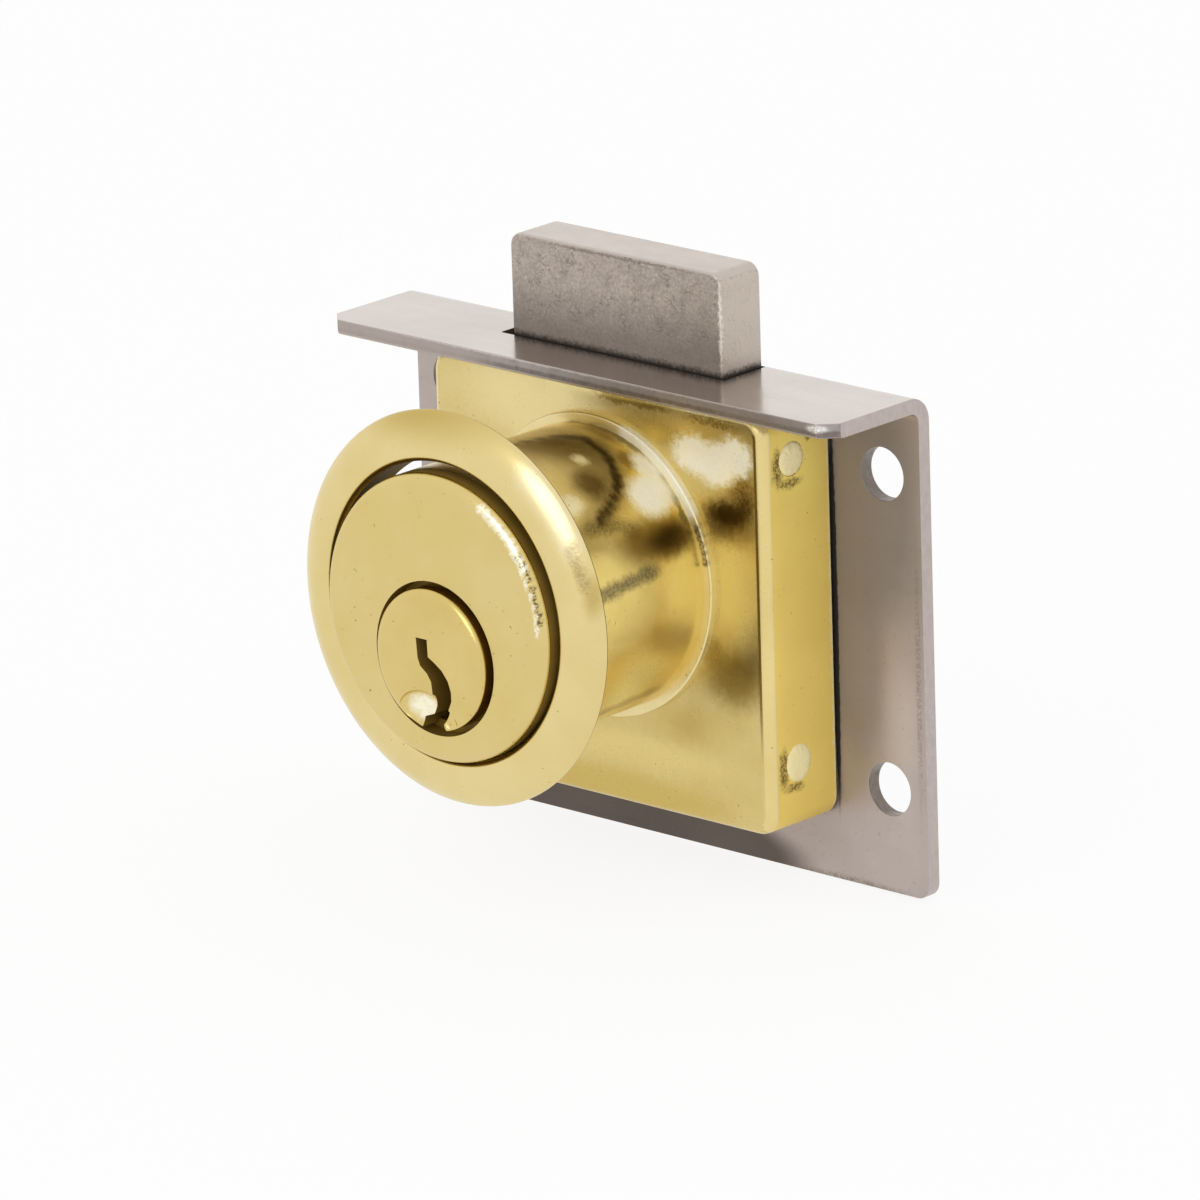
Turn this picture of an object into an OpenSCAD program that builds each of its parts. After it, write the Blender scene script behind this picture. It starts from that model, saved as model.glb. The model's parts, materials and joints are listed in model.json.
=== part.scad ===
// Cabinet lock with a round pin cylinder and a sliding dead bolt, in millimetres.
// X runs across the lock, Y from the keyed face to the back plate, Z up along the bolt.
// The origin is the centre of the four screw holes, on the back of the plate.

/* [Bolt] */
// Width of the bolt across the lock
bolt_w = 18; // [14:0.5:22]
// Thickness of the bolt
bolt_t = 3.8; // [3:0.1:5]
// How far the bolt stands above the flange when it is thrown
bolt_throw = 6.8; // [4:0.1:7.5]
// Length of bolt below its cam slot
bolt_tail = 5.7; // [3:0.1:9]
// Rounding of the bolt's top corners, seen from the keyed face
bolt_round = 0.9; // [0.3:0.1:1.4]
// Rounding of the bolt's other edges
bolt_edge = 0.2; // [0.1:0.05:0.6]

/* [Back plate] */
// Thickness of the plate and its flange
plate_t = 1.0; // [0.8:0.1:1.6]
// Inner radius of the bend between the plate and the flange
bend_r = 0.7; // [0.3:0.1:1.5]
// Plate to the side of each screw hole's centre
plate_side = 3.15; // [2.6:0.05:8]
// Plate below the lower screw holes' centres
plate_foot = 6.85; // [3:0.05:12]
// Depth of the flange in front of the bolt
flange_lip = 4.1; // [2:0.1:12]
// Rounding of the plate's lower corners
plate_corner_r = 1.0; // [0.3:0.1:2.2]
// Clipped front corners of the flange, along the flange
flange_clip = 1.4; // [0.4:0.1:3]

/* [Screw holes] */
// Diameter of the screw holes
screw_d = 3.5; // [2.5:0.1:4.4]
// Distance of the screw holes' centres from the side of the case
screw_gap = 4.25; // [3:0.05:8]
// Height between the lower and the upper screw holes
screw_dz = 20.8; // [12:0.1:22]

/* [Case] */
// Wall of the pressed case
case_wall = 0.9; // [0.5:0.1:1.4]
// Rounding of the case's four edges that run back to the plate
case_round = 1.5; // [0.4:0.1:1.6]
// Rounding of the edges round the case's front
case_rim = 0.75; // [0.3:0.05:1.2]
// Gap between the case's rear edge and the plate
case_stand = 0.3; // [0.05:0.05:0.6]
// Gap between the top of the case and the underside of the flange
case_gap = 0.2; // [0.1:0.05:0.6]
// Height of case above the collar
case_brow = 2.02; // [0.5:0.02:4]
// Width of the raised collar round the barrel
collar_w = 0.55; // [0.4:0.05:1.2]
// Height of the collar in front of the case
collar_h = 0.5; // [0.2:0.1:1.2]
// Diameter of the rivets in the sides of the case
rivet_d = 2.6; // [1.6:0.1:3.2]
// Upper rivets' distance from the top of the case
rivet_top = 3.2; // [2.4:0.1:5]
// Lower rivets' distance from the bottom of the case
rivet_foot = 4.5; // [2.8:0.05:7]
// Rivets' distance from the front of the case
rivet_front = 2.7; // [2.5:0.1:3.6]
// How far the rivets' heads stand out of the case
rivet_proud = 0.12; // [0.05:0.01:0.4]

/* [Body] */
// Width of the body's cheek beside the bolt
cheek_w = 4.15; // [3:0.05:6]
// Thickness of the body's front wall
body_wall = 1.2; // [0.8:0.1:2]
// Thickness of the body below the bolt
body_floor = 1.0; // [0.6:0.1:2]
// Diameter of the studs that hold the back plate to the body
stud_d = 2.4; // [1.6:0.1:2.8]
// Height between the lower and the upper studs
stud_dz = 12; // [8:0.5:14]

/* [Barrel] */
// Outer diameter of the barrel, for a 19 mm hole
barrel_d = 18.76; // [17:0.02:20]
// Rounding of the barrel's front edge
barrel_round = 0.65; // [0.2:0.05:0.9]
// Barrel in front of the first pin's axis
face_to_pins = 3.7; // [2.6:0.1:12]
// Barrel behind the last pin's axis, up to the drive cam
pins_to_cam = 1.5; // [1.4:0.1:4]
// Width of the cover over the pin chambers
cover_w = 3.2; // [2.8:0.1:4.5]
// Thickness of the cover at its middle
cover_t = 1.1; // [0.7:0.1:1.6]

/* [Plug] */
// Height of the plug's axis above the centre of the screw holes
plug_up = 0.25; // [-1:0.05:1.5]
// Distance of the plug's axis below the barrel's axis
plug_drop = 2.55; // [2:0.05:2.9]
// Diameter of the plug
plug_d = 8.8; // [8:0.1:9.6]
// Width of the lip round the plug's head
head_lip = 0.22; // [0.1:0.02:0.6]
// Room round the plug's head in its recess
head_room = 0.42; // [0.1:0.02:0.6]
// Depth of the recess for the plug's head
head_depth = 1.2; // [0.6:0.1:1.8]
// How far the plug's head stands out of the barrel
plug_proud = 0.7; // [0.1:0.05:1]
// Rounding of the plug's front edge
plug_round = 0.4; // [0.1:0.05:0.6]
// Width of the square tail that carries the cam
tail_w = 3.0; // [2.2:0.1:3.2]
// Scale of the keyway's outline
keyway_scale = 1.0; // [0.8:0.02:1.05]
// Half width of the scoop beside the keyway
scoop_r = 1.9; // [1.2:0.1:2.2]

/* [Drive cam] */
// Thickness of the cam
cam_t = 0.95; // [0.6:0.05:1.6]
// Diameter of the stud that moves the bolt
drive_d = 2.4; // [1.6:0.1:2.6]
// Width of cam outside its stud
cam_rim = 0.7; // [0.4:0.1:1]

/* [Pins] */
// Diameter of the pins
pin_d = 2.3; // [1.8:0.1:2.4]
// Distance between neighbouring pins
pin_pitch = 2.8; // [2.7:0.05:4]
// Length of a driver pin
driver_len = 3.6; // [2.4:0.1:4]
// Shortest key pin
key_pin_min = 4.5; // [3.5:0.1:5]
// Step between two depths of the key pins
key_pin_step = 0.4; // [0.2:0.05:0.45]
// Wire of the pin springs
spring_wire = 0.25; // [0.15:0.05:0.3]
// Coils in a pin spring
spring_turns = 5; // [3:1:5]

/* [Bezel] */
// Width of the bezel's face outside its opening
bezel_face = 3.0; // [2:0.02:6]
// Step between the bezel's bore and its wider opening
bezel_mouth = 0.15; // [0.05:0.01:0.8]
// How far the loose bezel sits above the barrel's axis
bezel_lift = 0.27; // [0:0.01:0.5]
// Thickness of the bezel's metal
bezel_t = 0.7; // [0.5:0.05:1]
// Length of the bezel along the barrel
bezel_len = 3.0; // [2.6:0.1:4]
// Radius of the bezel's crown in section
bezel_crown = 3.4; // [3:0.1:8]
// How far the bezel's crown lies behind the barrel's face
bezel_back = 0.8; // [0:0.05:1.5]

/* [Fits] */
// Clearance on each side of parts that slide or turn
slide_gap = 0.1; // [0.05:0.01:0.2]
// Clearance round parts that are put together and stay
seat_gap = 0.05; // [0.02:0.01:0.1]
// Radial clearance of the plug, the pins and the bezel
turn_gap = 0.05; // [0.02:0.01:0.1]
// Room between the back of the bolt and the plate
bolt_room = 0.45; // [0.2:0.05:1]
// Room at the right of the bolt in the flange's slot
flange_room = 0.2; // [0.15:0.05:1.5]
// Room at the left of the bolt in the flange's slot
flange_room_left = 0.95; // [0.15:0.05:2]

/* [Hidden] */
$fn = 96;
// Surplus by which a cutting shape passes a face
cut = 1;

// Depths, counted from the back of the plate towards the keyed face
bolt_back = plate_t + bolt_room;
bolt_front = bolt_back + bolt_t;
channel_front = bolt_front + slide_gap;
body_front = channel_front + body_wall;
case_front = body_front + seat_gap + case_wall;
cam_back = bolt_front + 2 * slide_gap;
cam_front = cam_back + cam_t;
cam_floor = cam_front + slide_gap;
last_pin = cam_floor + pins_to_cam;
pin_count = 5;
first_pin = last_pin + (pin_count - 1) * pin_pitch;
lock_len = first_pin + face_to_pins;
plug_face = lock_len + plug_proud;
head_floor = lock_len - head_depth;

// Radii
barrel_r = barrel_d / 2;
collar_in = barrel_r + seat_gap + slide_gap;
collar_r = barrel_r + collar_w;
plug_r = plug_d / 2;
head_r = plug_r + head_lip;
head_recess_r = head_r + head_room;
chamber_r = pin_d / 2 + turn_gap;
drive_r = drive_d / 2;
drive_arm = bolt_throw / 2;
cam_r = drive_arm + drive_r + cam_rim;
cam_recess_r = cam_r + slide_gap + seat_gap;
spigot_wall = 0.5;
spigot_r = plug_drop + cam_recess_r + spigot_wall;

// Heights
plug_z = plug_up;
barrel_z = plug_z + plug_drop;
case_top = barrel_z + collar_r + case_brow;
flange_bottom = case_top + case_gap;
flange_top = flange_bottom + plate_t;
bolt_top = flange_top + bolt_throw;
// The stud of a cam runs ahead of an even slide by up to 0.1053 of the throw, so the slot is higher
drive_lead = 0.106 * bolt_throw;
slot_h = drive_d + 2 * drive_lead + slide_gap;
slot_z = plug_z + drive_arm;
bolt_bottom = slot_z - slot_h / 2 - bolt_tail;
channel_bottom = bolt_bottom - bolt_throw - 2 * slide_gap;
body_bottom = channel_bottom - body_floor;
case_bottom = body_bottom - seat_gap - case_wall;
body_top = case_top - case_wall - seat_gap;
plate_bottom = -screw_dz / 2 - plate_foot;

// Widths
channel_w = bolt_w + 2 * slide_gap;
body_w = channel_w + 2 * cheek_w;
case_w = body_w + 2 * (seat_gap + case_wall);
screw_dx = case_w + 2 * screw_gap;
plate_w = screw_dx + 2 * plate_side;
stud_dx = channel_w + cheek_w;
slot_w = 2 * (drive_arm + drive_r + slide_gap + seat_gap);
flange_depth = bolt_front + slide_gap + flange_lip;
clip_depth = flange_clip * 0.6;

// Pin stacks, heights above the plug's axis
shear_gap = 0.1;
key_pin_top = sqrt(pow(plug_r - turn_gap / 2, 2) - pow(pin_d / 2, 2));
driver_bottom = plug_r + shear_gap;
driver_top = driver_bottom + driver_len;
cover_bottom = plug_drop + barrel_r - cover_t;
spring_gap = 0.03;
key_cuts = [1, 3, 0, 2, 1];
pin_floor = key_pin_top - key_pin_min - 3 * key_pin_step - 1.4;

// Colours of the finishes
brass = [0.86, 0.75, 0.42];
nickel = [0.66, 0.62, 0.59];
steel = [0.55, 0.52, 0.49];
zinc = [0.6, 0.6, 0.6];
spring_steel = [0.45, 0.45, 0.47];

// Extrudes an outline in X and Z from one depth to another, both counted from the plate's back
module slab(from, to) {
    translate([0, -from, 0]) rotate([90, 0, 0]) linear_extrude(to - from) children();
}

// Extrudes an outline of depth and height to both sides of the middle
module across(width) {
    translate([-width / 2, 0, 0]) rotate([90, 0, 90]) linear_extrude(width) mirror([1, 0, 0]) children();
}

// Extrudes an outline of width and depth upwards from one height to another
module upright(bottom, top) {
    translate([0, 0, bottom]) linear_extrude(top - bottom) mirror([0, 1, 0]) children();
}

// Round bar along the depth at a given place
module bar(x, z, r, from, to) {
    translate([x, -from, z]) rotate([90, 0, 0]) cylinder(r = r, h = to - from);
}

// Rectangle between two corners with round corners where a radius is given: lower and upper pair
module window(x0, y0, x1, y1, r_low, r_high) {
    difference() {
        translate([x0, y0]) square([x1 - x0, y1 - y0]);
        for (side = [0, 1]) {
            translate([side ? x1 : x0, 0]) mirror([side, 0, 0]) {
                if (r_low > 0) translate([0, y0]) corner(r_low);
                if (r_high > 0) translate([0, y1]) mirror([0, 1, 0]) corner(r_high);
            }
        }
    }
}

// What a corner at the origin loses when it is rounded
module corner(r) {
    difference() {
        translate([-cut, -cut]) square([r + cut, r + cut]);
        translate([r, r]) circle(r);
        translate([r, -cut]) square([r, r + cut]);
        translate([-cut, r]) square([r + cut, r]);
    }
}

// Places its children at the four corners of a rectangle round the origin
module four(dx, dz) {
    for (x = [-dx / 2, dx / 2], z = [-dz / 2, dz / 2]) translate([x, z]) children();
}

// Half section of a bar with a rounded front edge, radius along X and depth along Y
module turned(r, from, to, round_r) {
    union() {
        translate([0, from]) square([r, to - round_r - from]);
        translate([0, from]) square([r - round_r, to - from]);
        translate([r - round_r, to - round_r]) circle(round_r);
    }
}

// Turns a half section about an axis along the depth, at height z
module turn_about(z) {
    translate([0, 0, z]) rotate([90, 0, 0]) rotate_extrude() children();
}

// L-shaped plate: its long leg carries the lock, its flange takes the bolt's slot
module back_plate() {
    bend_out = bend_r + plate_t;
    color(nickel) difference() {
        intersection() {
            across(plate_w) union() {
                translate([0, plate_bottom]) square([plate_t, flange_top - bend_out - plate_bottom]);
                translate([bend_out, flange_bottom]) square([flange_depth - bend_out, plate_t]);
                intersection() {
                    translate([bend_out, flange_top - bend_out]) difference() {
                        circle(bend_out);
                        circle(bend_r);
                    }
                    translate([0, flange_top - bend_out]) square(bend_out);
                }
            }
            slab(-cut, flange_depth + cut)
                window(-plate_w / 2, plate_bottom, plate_w / 2, flange_top + cut, plate_corner_r, 0);
            upright(plate_bottom - cut, flange_top + cut) polygon([
                [-plate_w / 2, 0], [plate_w / 2, 0],
                [plate_w / 2, flange_depth - clip_depth], [plate_w / 2 - flange_clip, flange_depth],
                [flange_clip - plate_w / 2, flange_depth], [-plate_w / 2, flange_depth - clip_depth]]);
        }
        slab(-cut, plate_t + cut) {
            four(screw_dx, screw_dz) circle(d = screw_d);
            translate([0, plug_z]) four(stud_dx, stud_dz) circle(d = stud_d + 2 * seat_gap);
        }
        upright(flange_bottom - bend_r, flange_top + cut)
            window(-bolt_w / 2 - flange_room_left, bolt_back - seat_gap,
                bolt_w / 2 + flange_room, bolt_front + slide_gap, 0, 0);
    }
}

// Block with round corners in front view and round front edges
module case_block() {
    half_w = case_w / 2;
    intersection() {
        slab(plate_t + case_stand, case_front)
            window(-half_w, case_bottom, half_w, case_top, case_round, case_round);
        upright(case_bottom, case_top) window(-half_w, plate_t, half_w, case_front, 0, case_rim);
        across(case_w) mirror([1, -1, 0]) window(case_bottom, plate_t, case_top, case_front, 0, case_rim);
    }
}

// Pressed case: a box open at the back, with a collar for the barrel and a notch for the bolt
module case_shell() {
    color(brass) difference() {
        union() {
            case_block();
            bar(0, barrel_z, collar_r, case_front - case_wall, case_front + collar_h);
        }
        slab(plate_t - cut, case_front - case_wall) window(
            case_wall - case_w / 2, case_bottom + case_wall, case_w / 2 - case_wall, case_top - case_wall, 0, 0);
        bar(0, barrel_z, collar_in, body_front, case_front + collar_h + cut);
        upright(case_top - case_wall - cut, case_top + cut)
            window(-channel_w / 2, plate_t - cut, channel_w / 2, channel_front, 0, 0);
        rivet_places() cylinder(d = rivet_d + 2 * seat_gap, h = case_w, center = true);
    }
}

// Middle of each rivet's axis, on the side wall of the case, with Z pointing out of the case
module rivet_places() {
    for (side = [-1, 1], z = [case_bottom + rivet_foot, case_top - rivet_top])
        translate([side * case_w / 2, rivet_front - case_front, z]) rotate([0, side * 90, 0]) children();
}

// Four rivets that hold the case to the cheeks of the body
module case_rivets() {
    rivet_in = case_wall + cheek_w / 2;
    color(brass) rivet_places() translate([0, 0, -rivet_in]) cylinder(d = rivet_d, h = rivet_in + rivet_proud);
}

// Cast body: guides the bolt between its cheeks and carries the barrel in its front wall
module lock_body() {
    color(zinc) difference() {
        union() {
            slab(plate_t, body_front) window(-body_w / 2, body_bottom, body_w / 2, body_top, 0, 0);
            slab(0, plate_t + seat_gap) translate([0, plug_z]) four(stud_dx, stud_dz) circle(d = stud_d);
        }
        slab(plate_t - cut, channel_front)
            window(-channel_w / 2, channel_bottom, channel_w / 2, body_top + cut, 0, 0);
        bar(0, barrel_z, spigot_r + seat_gap, channel_front - cut, body_front + cut);
        rivet_places() translate([0, 0, -case_wall - cheek_w / 2 - seat_gap])
            cylinder(d = rivet_d + 2 * seat_gap, h = cheek_w + case_wall);
    }
}

// Depth of a pin's axis, the first pin being nearest the keyed face
function pin_depth(i) = first_pin - (i - 1) * pin_pitch;

// Barrel with the plug's bore below its middle and five pin chambers above the plug
module cylinder_barrel() {
    color(brass) difference() {
        union() {
            turn_about(barrel_z) turned(barrel_r, body_front, lock_len, barrel_round);
            bar(0, barrel_z, spigot_r, cam_back - slide_gap / 2, body_front + cut);
        }
        bar(0, plug_z, plug_r + turn_gap, cam_back - cut, lock_len + cut);
        bar(0, plug_z, head_recess_r, head_floor, lock_len + cut);
        bar(0, plug_z, cam_recess_r, cam_back - cut, cam_floor);
        for (i = [1 : pin_count]) translate([0, -pin_depth(i), plug_z])
            cylinder(r = chamber_r, h = cover_bottom + cut);
        cover_groove(seat_gap);
    }
}

// Groove along the top of the barrel over the pin chambers, larger than its cover by a gap
module cover_groove(gap) {
    translate([0, -(first_pin + last_pin) / 2, plug_z + cover_bottom + cover_t - gap]) cube([
        cover_w + 2 * gap, first_pin - last_pin + 3 * chamber_r + 2 * gap, 2 * cover_t], center = true);
}

// Strip that closes the pin chambers, flush with the barrel
module chamber_cover() {
    color(brass) intersection() {
        translate([0, 0, seat_gap]) cover_groove(0);
        bar(0, barrel_z, barrel_r - seat_gap / 2, body_front, lock_len);
    }
}

// Pressed ring round the front of the barrel, with a rounded crown and a sleeve inside
module bezel_ring() {
    crest = lock_len - bezel_back;
    bore_r = barrel_r + bezel_lift + turn_gap;
    hole_r = bore_r + bezel_mouth;
    mid_r = hole_r + bezel_t * 0.64;
    mid_depth = crest - bezel_crown;
    foot = crest - bezel_len;
    inner_crown = bezel_crown - bezel_t;
    rim_r = hole_r + bezel_face;
    rim_in = rim_r - bezel_t * 0.8;
    outer_end = acos((rim_r - mid_r) / bezel_crown);
    inner_end = acos((rim_in - mid_r) / inner_crown);
    outer_start = acos((hole_r - mid_r) / bezel_crown);
    steps = 10;
    color(brass) turn_about(barrel_z + bezel_lift) polygon(concat(
        [for (i = [0 : steps]) let (a = outer_start + (outer_end - outer_start) * i / steps)
            [mid_r + bezel_crown * cos(a), mid_depth + bezel_crown * sin(a)]],
        [for (i = [0 : steps]) let (a = inner_end + (90 - inner_end) * i / steps)
            [mid_r + inner_crown * cos(a), mid_depth + inner_crown * sin(a)]],
        [[bore_r + bezel_t * 0.75, foot], [bore_r, foot], [bore_r, foot + bezel_t]]));
}

// Outline of the keyway about the plug's axis
module keyway_outline() {
    scale(keyway_scale) polygon([[-0.95, 1.42], [0, 1.42], [0.05, 0.3], [0.6, 0], [1.2, -0.4], [1.7, -1],
        [1.95, -1.7], [1.95, -2.3], [1.6, -3.1], [1.2, -3.9], [1.15, -6], [-0.9, -6], [-0.9, -3.9],
        [-0.1, -3.6], [0.2, -3], [0.35, -2.1], [0.25, -1.3], [-0.1, -0.8], [-0.65, -0.4], [-0.85, 0.1]]);
}

// Turning plug with its keyway, its pin holes and the square tail that drives the cam
module plug() {
    color(brass) difference() {
        union() {
            bar(0, plug_z, plug_r, cam_floor, plug_face - plug_round);
            turn_about(plug_z) turned(head_r, head_floor + slide_gap, plug_face, plug_round);
            slab(cam_back, cam_floor + cut) translate([0, plug_z]) square(tail_w, center = true);
        }
        slab(last_pin - chamber_r, plug_face + cut) translate([0, plug_z]) keyway_outline();
        translate([-0.42 * scoop_r, -plug_face, plug_z - 1.75 * scoop_r]) rotate([0, -14, 0])
            scale([1, 0.35, 0.68]) sphere(r = scoop_r);
        for (i = [1 : pin_count]) translate([0, -pin_depth(i), plug_z + pin_floor])
            cylinder(r = chamber_r, h = plug_r + cut - pin_floor);
    }
}

// Disc on the plug's tail that carries the drive stud
module drive_cam() {
    color(steel) difference() {
        bar(0, plug_z, cam_r, cam_back, cam_front);
        slab(cam_back - cut, cam_front + cut) translate([0, plug_z])
            square(tail_w + 2 * seat_gap, center = true);
        bar(0, plug_z + drive_arm, drive_r + seat_gap, cam_back - cut, cam_front + cut);
    }
}

// Stud that runs in the bolt's slot
module drive_stud() {
    color(steel) bar(0, plug_z + drive_arm, drive_r, bolt_back + 2 * slide_gap, cam_front);
}

// Dead bolt with rounded top corners and a cross slot for the drive stud
module bolt() {
    color(steel) difference() {
        intersection() {
            slab(bolt_back, bolt_front)
                window(-bolt_w / 2, bolt_bottom, bolt_w / 2, bolt_top, bolt_edge, bolt_round);
            upright(bolt_bottom, bolt_top)
                window(-bolt_w / 2, bolt_back, bolt_w / 2, bolt_front, bolt_edge, bolt_edge);
            across(bolt_w) window(bolt_back, bolt_bottom, bolt_front, bolt_top, 0, bolt_edge);
        }
        slab(bolt_back - cut, bolt_front + cut) translate([0, slot_z]) {
            square([slot_w - slot_h, slot_h], center = true);
            for (side = [-1, 1]) translate([side * (slot_w - slot_h) / 2, 0]) circle(d = slot_h);
        }
    }
}

// Key pin: its flat end meets the driver at the plug's surface, its cone rests on the key
module key_pin(i) {
    length = key_pin_min + key_cuts[i - 1] * key_pin_step;
    tip = pin_d / 3;
    color(brass) translate([0, -pin_depth(i), plug_z + key_pin_top - length]) {
        cylinder(r1 = pin_d / 6, r2 = pin_d / 2, h = tip);
        translate([0, 0, tip]) cylinder(d = pin_d, h = length - tip);
    }
}

// Driver pin, held by its spring against the key pin
module driver_pin(i) {
    color(steel) translate([0, -pin_depth(i), plug_z + driver_bottom]) cylinder(d = pin_d, h = driver_len);
}

// Coil spring between a driver pin and the chamber cover
module pin_spring(i) {
    coil_r = (pin_d - spring_wire) / 2 - turn_gap;
    low = driver_top + spring_gap + spring_wire / 2;
    high = cover_bottom - spring_gap - spring_wire / 2;
    rings_per_turn = 10;
    rings = spring_turns * rings_per_turn;
    sides = 6;
    points = [for (n = [0 : rings], k = [0 : sides - 1])
        let (a = 360 * n / rings_per_turn, b = 360 * k / sides, r = coil_r + spring_wire / 2 * cos(b))
        [r * cos(a), r * sin(a), low + (high - low) * n / rings + spring_wire / 2 * sin(b)]];
    walls = [for (n = [0 : rings - 1], k = [0 : sides - 1]) let (m = (k + 1) % sides, p = n * sides)
        each [[p + k, p + m, p + sides + m], [p + k, p + sides + m, p + sides + k]]];
    first = [for (k = [1 : sides - 2]) [0, k + 1, k]];
    last = [for (k = [1 : sides - 2]) [rings * sides, rings * sides + k, rings * sides + k + 1]];
    color(spring_steel) translate([0, -pin_depth(i), plug_z])
        polyhedron(points, concat(walls, first, last), convexity = 10);
}

back_plate();
case_shell();
case_rivets();
lock_body();
cylinder_barrel();
chamber_cover();
bezel_ring();
plug();
drive_cam();
drive_stud();
bolt();
key_pin(1);  // key_pin_1
key_pin(2);  // key_pin_2
key_pin(3);  // key_pin_3
key_pin(4);  // key_pin_4
key_pin(5);  // key_pin_5
driver_pin(1);  // driver_pin_1
driver_pin(2);  // driver_pin_2
driver_pin(3);  // driver_pin_3
driver_pin(4);  // driver_pin_4
driver_pin(5);  // driver_pin_5
pin_spring(1);  // pin_spring_1
pin_spring(2);  // pin_spring_2
pin_spring(3);  // pin_spring_3
pin_spring(4);  // pin_spring_4
pin_spring(5);  // pin_spring_5
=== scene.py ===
"""Looks of a cabinet lock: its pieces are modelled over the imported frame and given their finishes.

Every length is in metres in the frame's own axes: X to the right as seen from the keyed face, Y from the
keyed face to the back plate, Z up along the bolt. Depths are counted from the back of the plate forwards.
"""
import json
import logging
import math
from dataclasses import dataclass, field, replace
from enum import Enum
from typing import Callable, Sequence

import bpy
from mathutils import Matrix, Vector


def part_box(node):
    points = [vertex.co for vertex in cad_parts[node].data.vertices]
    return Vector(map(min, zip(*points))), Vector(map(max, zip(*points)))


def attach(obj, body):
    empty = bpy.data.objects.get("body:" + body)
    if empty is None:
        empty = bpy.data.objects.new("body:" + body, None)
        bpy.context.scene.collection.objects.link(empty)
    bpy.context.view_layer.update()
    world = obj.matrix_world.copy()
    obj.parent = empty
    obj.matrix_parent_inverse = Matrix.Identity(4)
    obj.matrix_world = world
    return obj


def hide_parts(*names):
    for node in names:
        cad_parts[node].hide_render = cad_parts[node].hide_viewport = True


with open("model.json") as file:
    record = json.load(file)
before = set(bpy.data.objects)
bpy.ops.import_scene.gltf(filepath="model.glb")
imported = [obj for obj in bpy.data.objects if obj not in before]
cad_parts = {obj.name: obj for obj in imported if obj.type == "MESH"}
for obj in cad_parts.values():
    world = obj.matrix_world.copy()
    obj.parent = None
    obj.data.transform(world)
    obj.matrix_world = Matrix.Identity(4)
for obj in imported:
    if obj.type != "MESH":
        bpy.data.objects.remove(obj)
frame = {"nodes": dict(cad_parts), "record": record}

MM = 0.001
# Steps round a turned piece and round a hole.
ROUND_STEPS = 160
HOLE_STEPS = 72
# How far a cutting shape stands out past what it cuts.
SURPLUS = 1.0 * MM
# Points this close lie on the same plane.
NEAR = 0.01 * MM
# Points this close are merged.
SAME = 0.0005 * MM
# How far the lock's foot is above the floor.
FLOOR_GAP = 0.2 * MM
# Numbers of the pin chambers, counted from the keyed face.
PINS = range(1, 6)

Piece = bpy.types.Object
Material = bpy.types.Material
Socket = bpy.types.NodeSocket
Colour = tuple[float, float, float]
Point = tuple[float, float]
log = logging.getLogger("cabinet_lock")


class Body(Enum):
    """Bodies of the frame that the new pieces ride on."""

    HOUSING = "housing"
    PLUG = "plug_and_cam"
    BOLT = "dead_bolt"
    BEZEL = "bezel"


class Slot(Enum):
    """Names of the record's material slots for the new pieces."""

    NICKEL = "nickel_plate"
    BRASS = "brass_plating"
    PLUG = "plug_brass"
    BOLT = "bolt_steel"


class Grain(Enum):
    """How a finish's fine marks are stretched along X, Y and Z."""

    EVEN = (1.0, 1.0, 1.0)
    ALONG_WIDTH = (0.2, 1.0, 1.0)
    TORN = (0.7, 1.0, 0.6)


class Metal(Enum):
    """Metals of the inner pieces, with the names of their finishes."""

    ZINC = "cast_zinc"
    STEEL = "turned_steel"
    BRASS = "turned_brass"
    WIRE = "spring_wire"


class Sum(Enum):
    """What is worked out from one or two values in a finish."""

    PRODUCT = "MULTIPLY"
    GREATER = "MAXIMUM"
    DIFFERENCE = "SUBTRACT"
    SIZE = "ABSOLUTE"


class Curve(Enum):
    """How a mapped value goes from its one end to the other."""

    STRAIGHT = "LINEAR"
    SOFT = "SMOOTHSTEP"


class Use(Enum):
    """What a tool shape is used for."""

    CUT = "DIFFERENCE"
    FUSE = "UNION"


@dataclass(frozen=True)
class Layer:
    """A layer of soft noise in a finish.

    Args:
        size: size of its features in metres.
        detail: number of finer layers in it.
        low: noise value at which what it steers starts to change.
        high: noise value at which that change is complete.
    """

    size: float
    detail: float
    low: float = 0.0
    high: float = 1.0


SPECKS = Layer(0.16 * MM, 3, 0.46, 0.56)


@dataclass(frozen=True)
class Patch:
    """A patch in a plating, soft and ragged at its edge: a discoloured spot, a thin place, a spot of wear,
    painted shade, a painted reflection or a painted highlight.

    Args:
        centre: its middle in the frame, in millimetres.
        reach: its half size along X, Y and Z, in millimetres.
        colour: colour of its middle.
        share: how much of the plating's own colour it hides in its middle.
        core: part of its reach that has the full share.
        broken: how much of it fine specks leave out.
    """

    centre: tuple[float, float, float]
    reach: tuple[float, float, float]
    colour: Colour
    share: float = 0.8
    core: float = 0.35
    broken: float = 0.0


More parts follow.
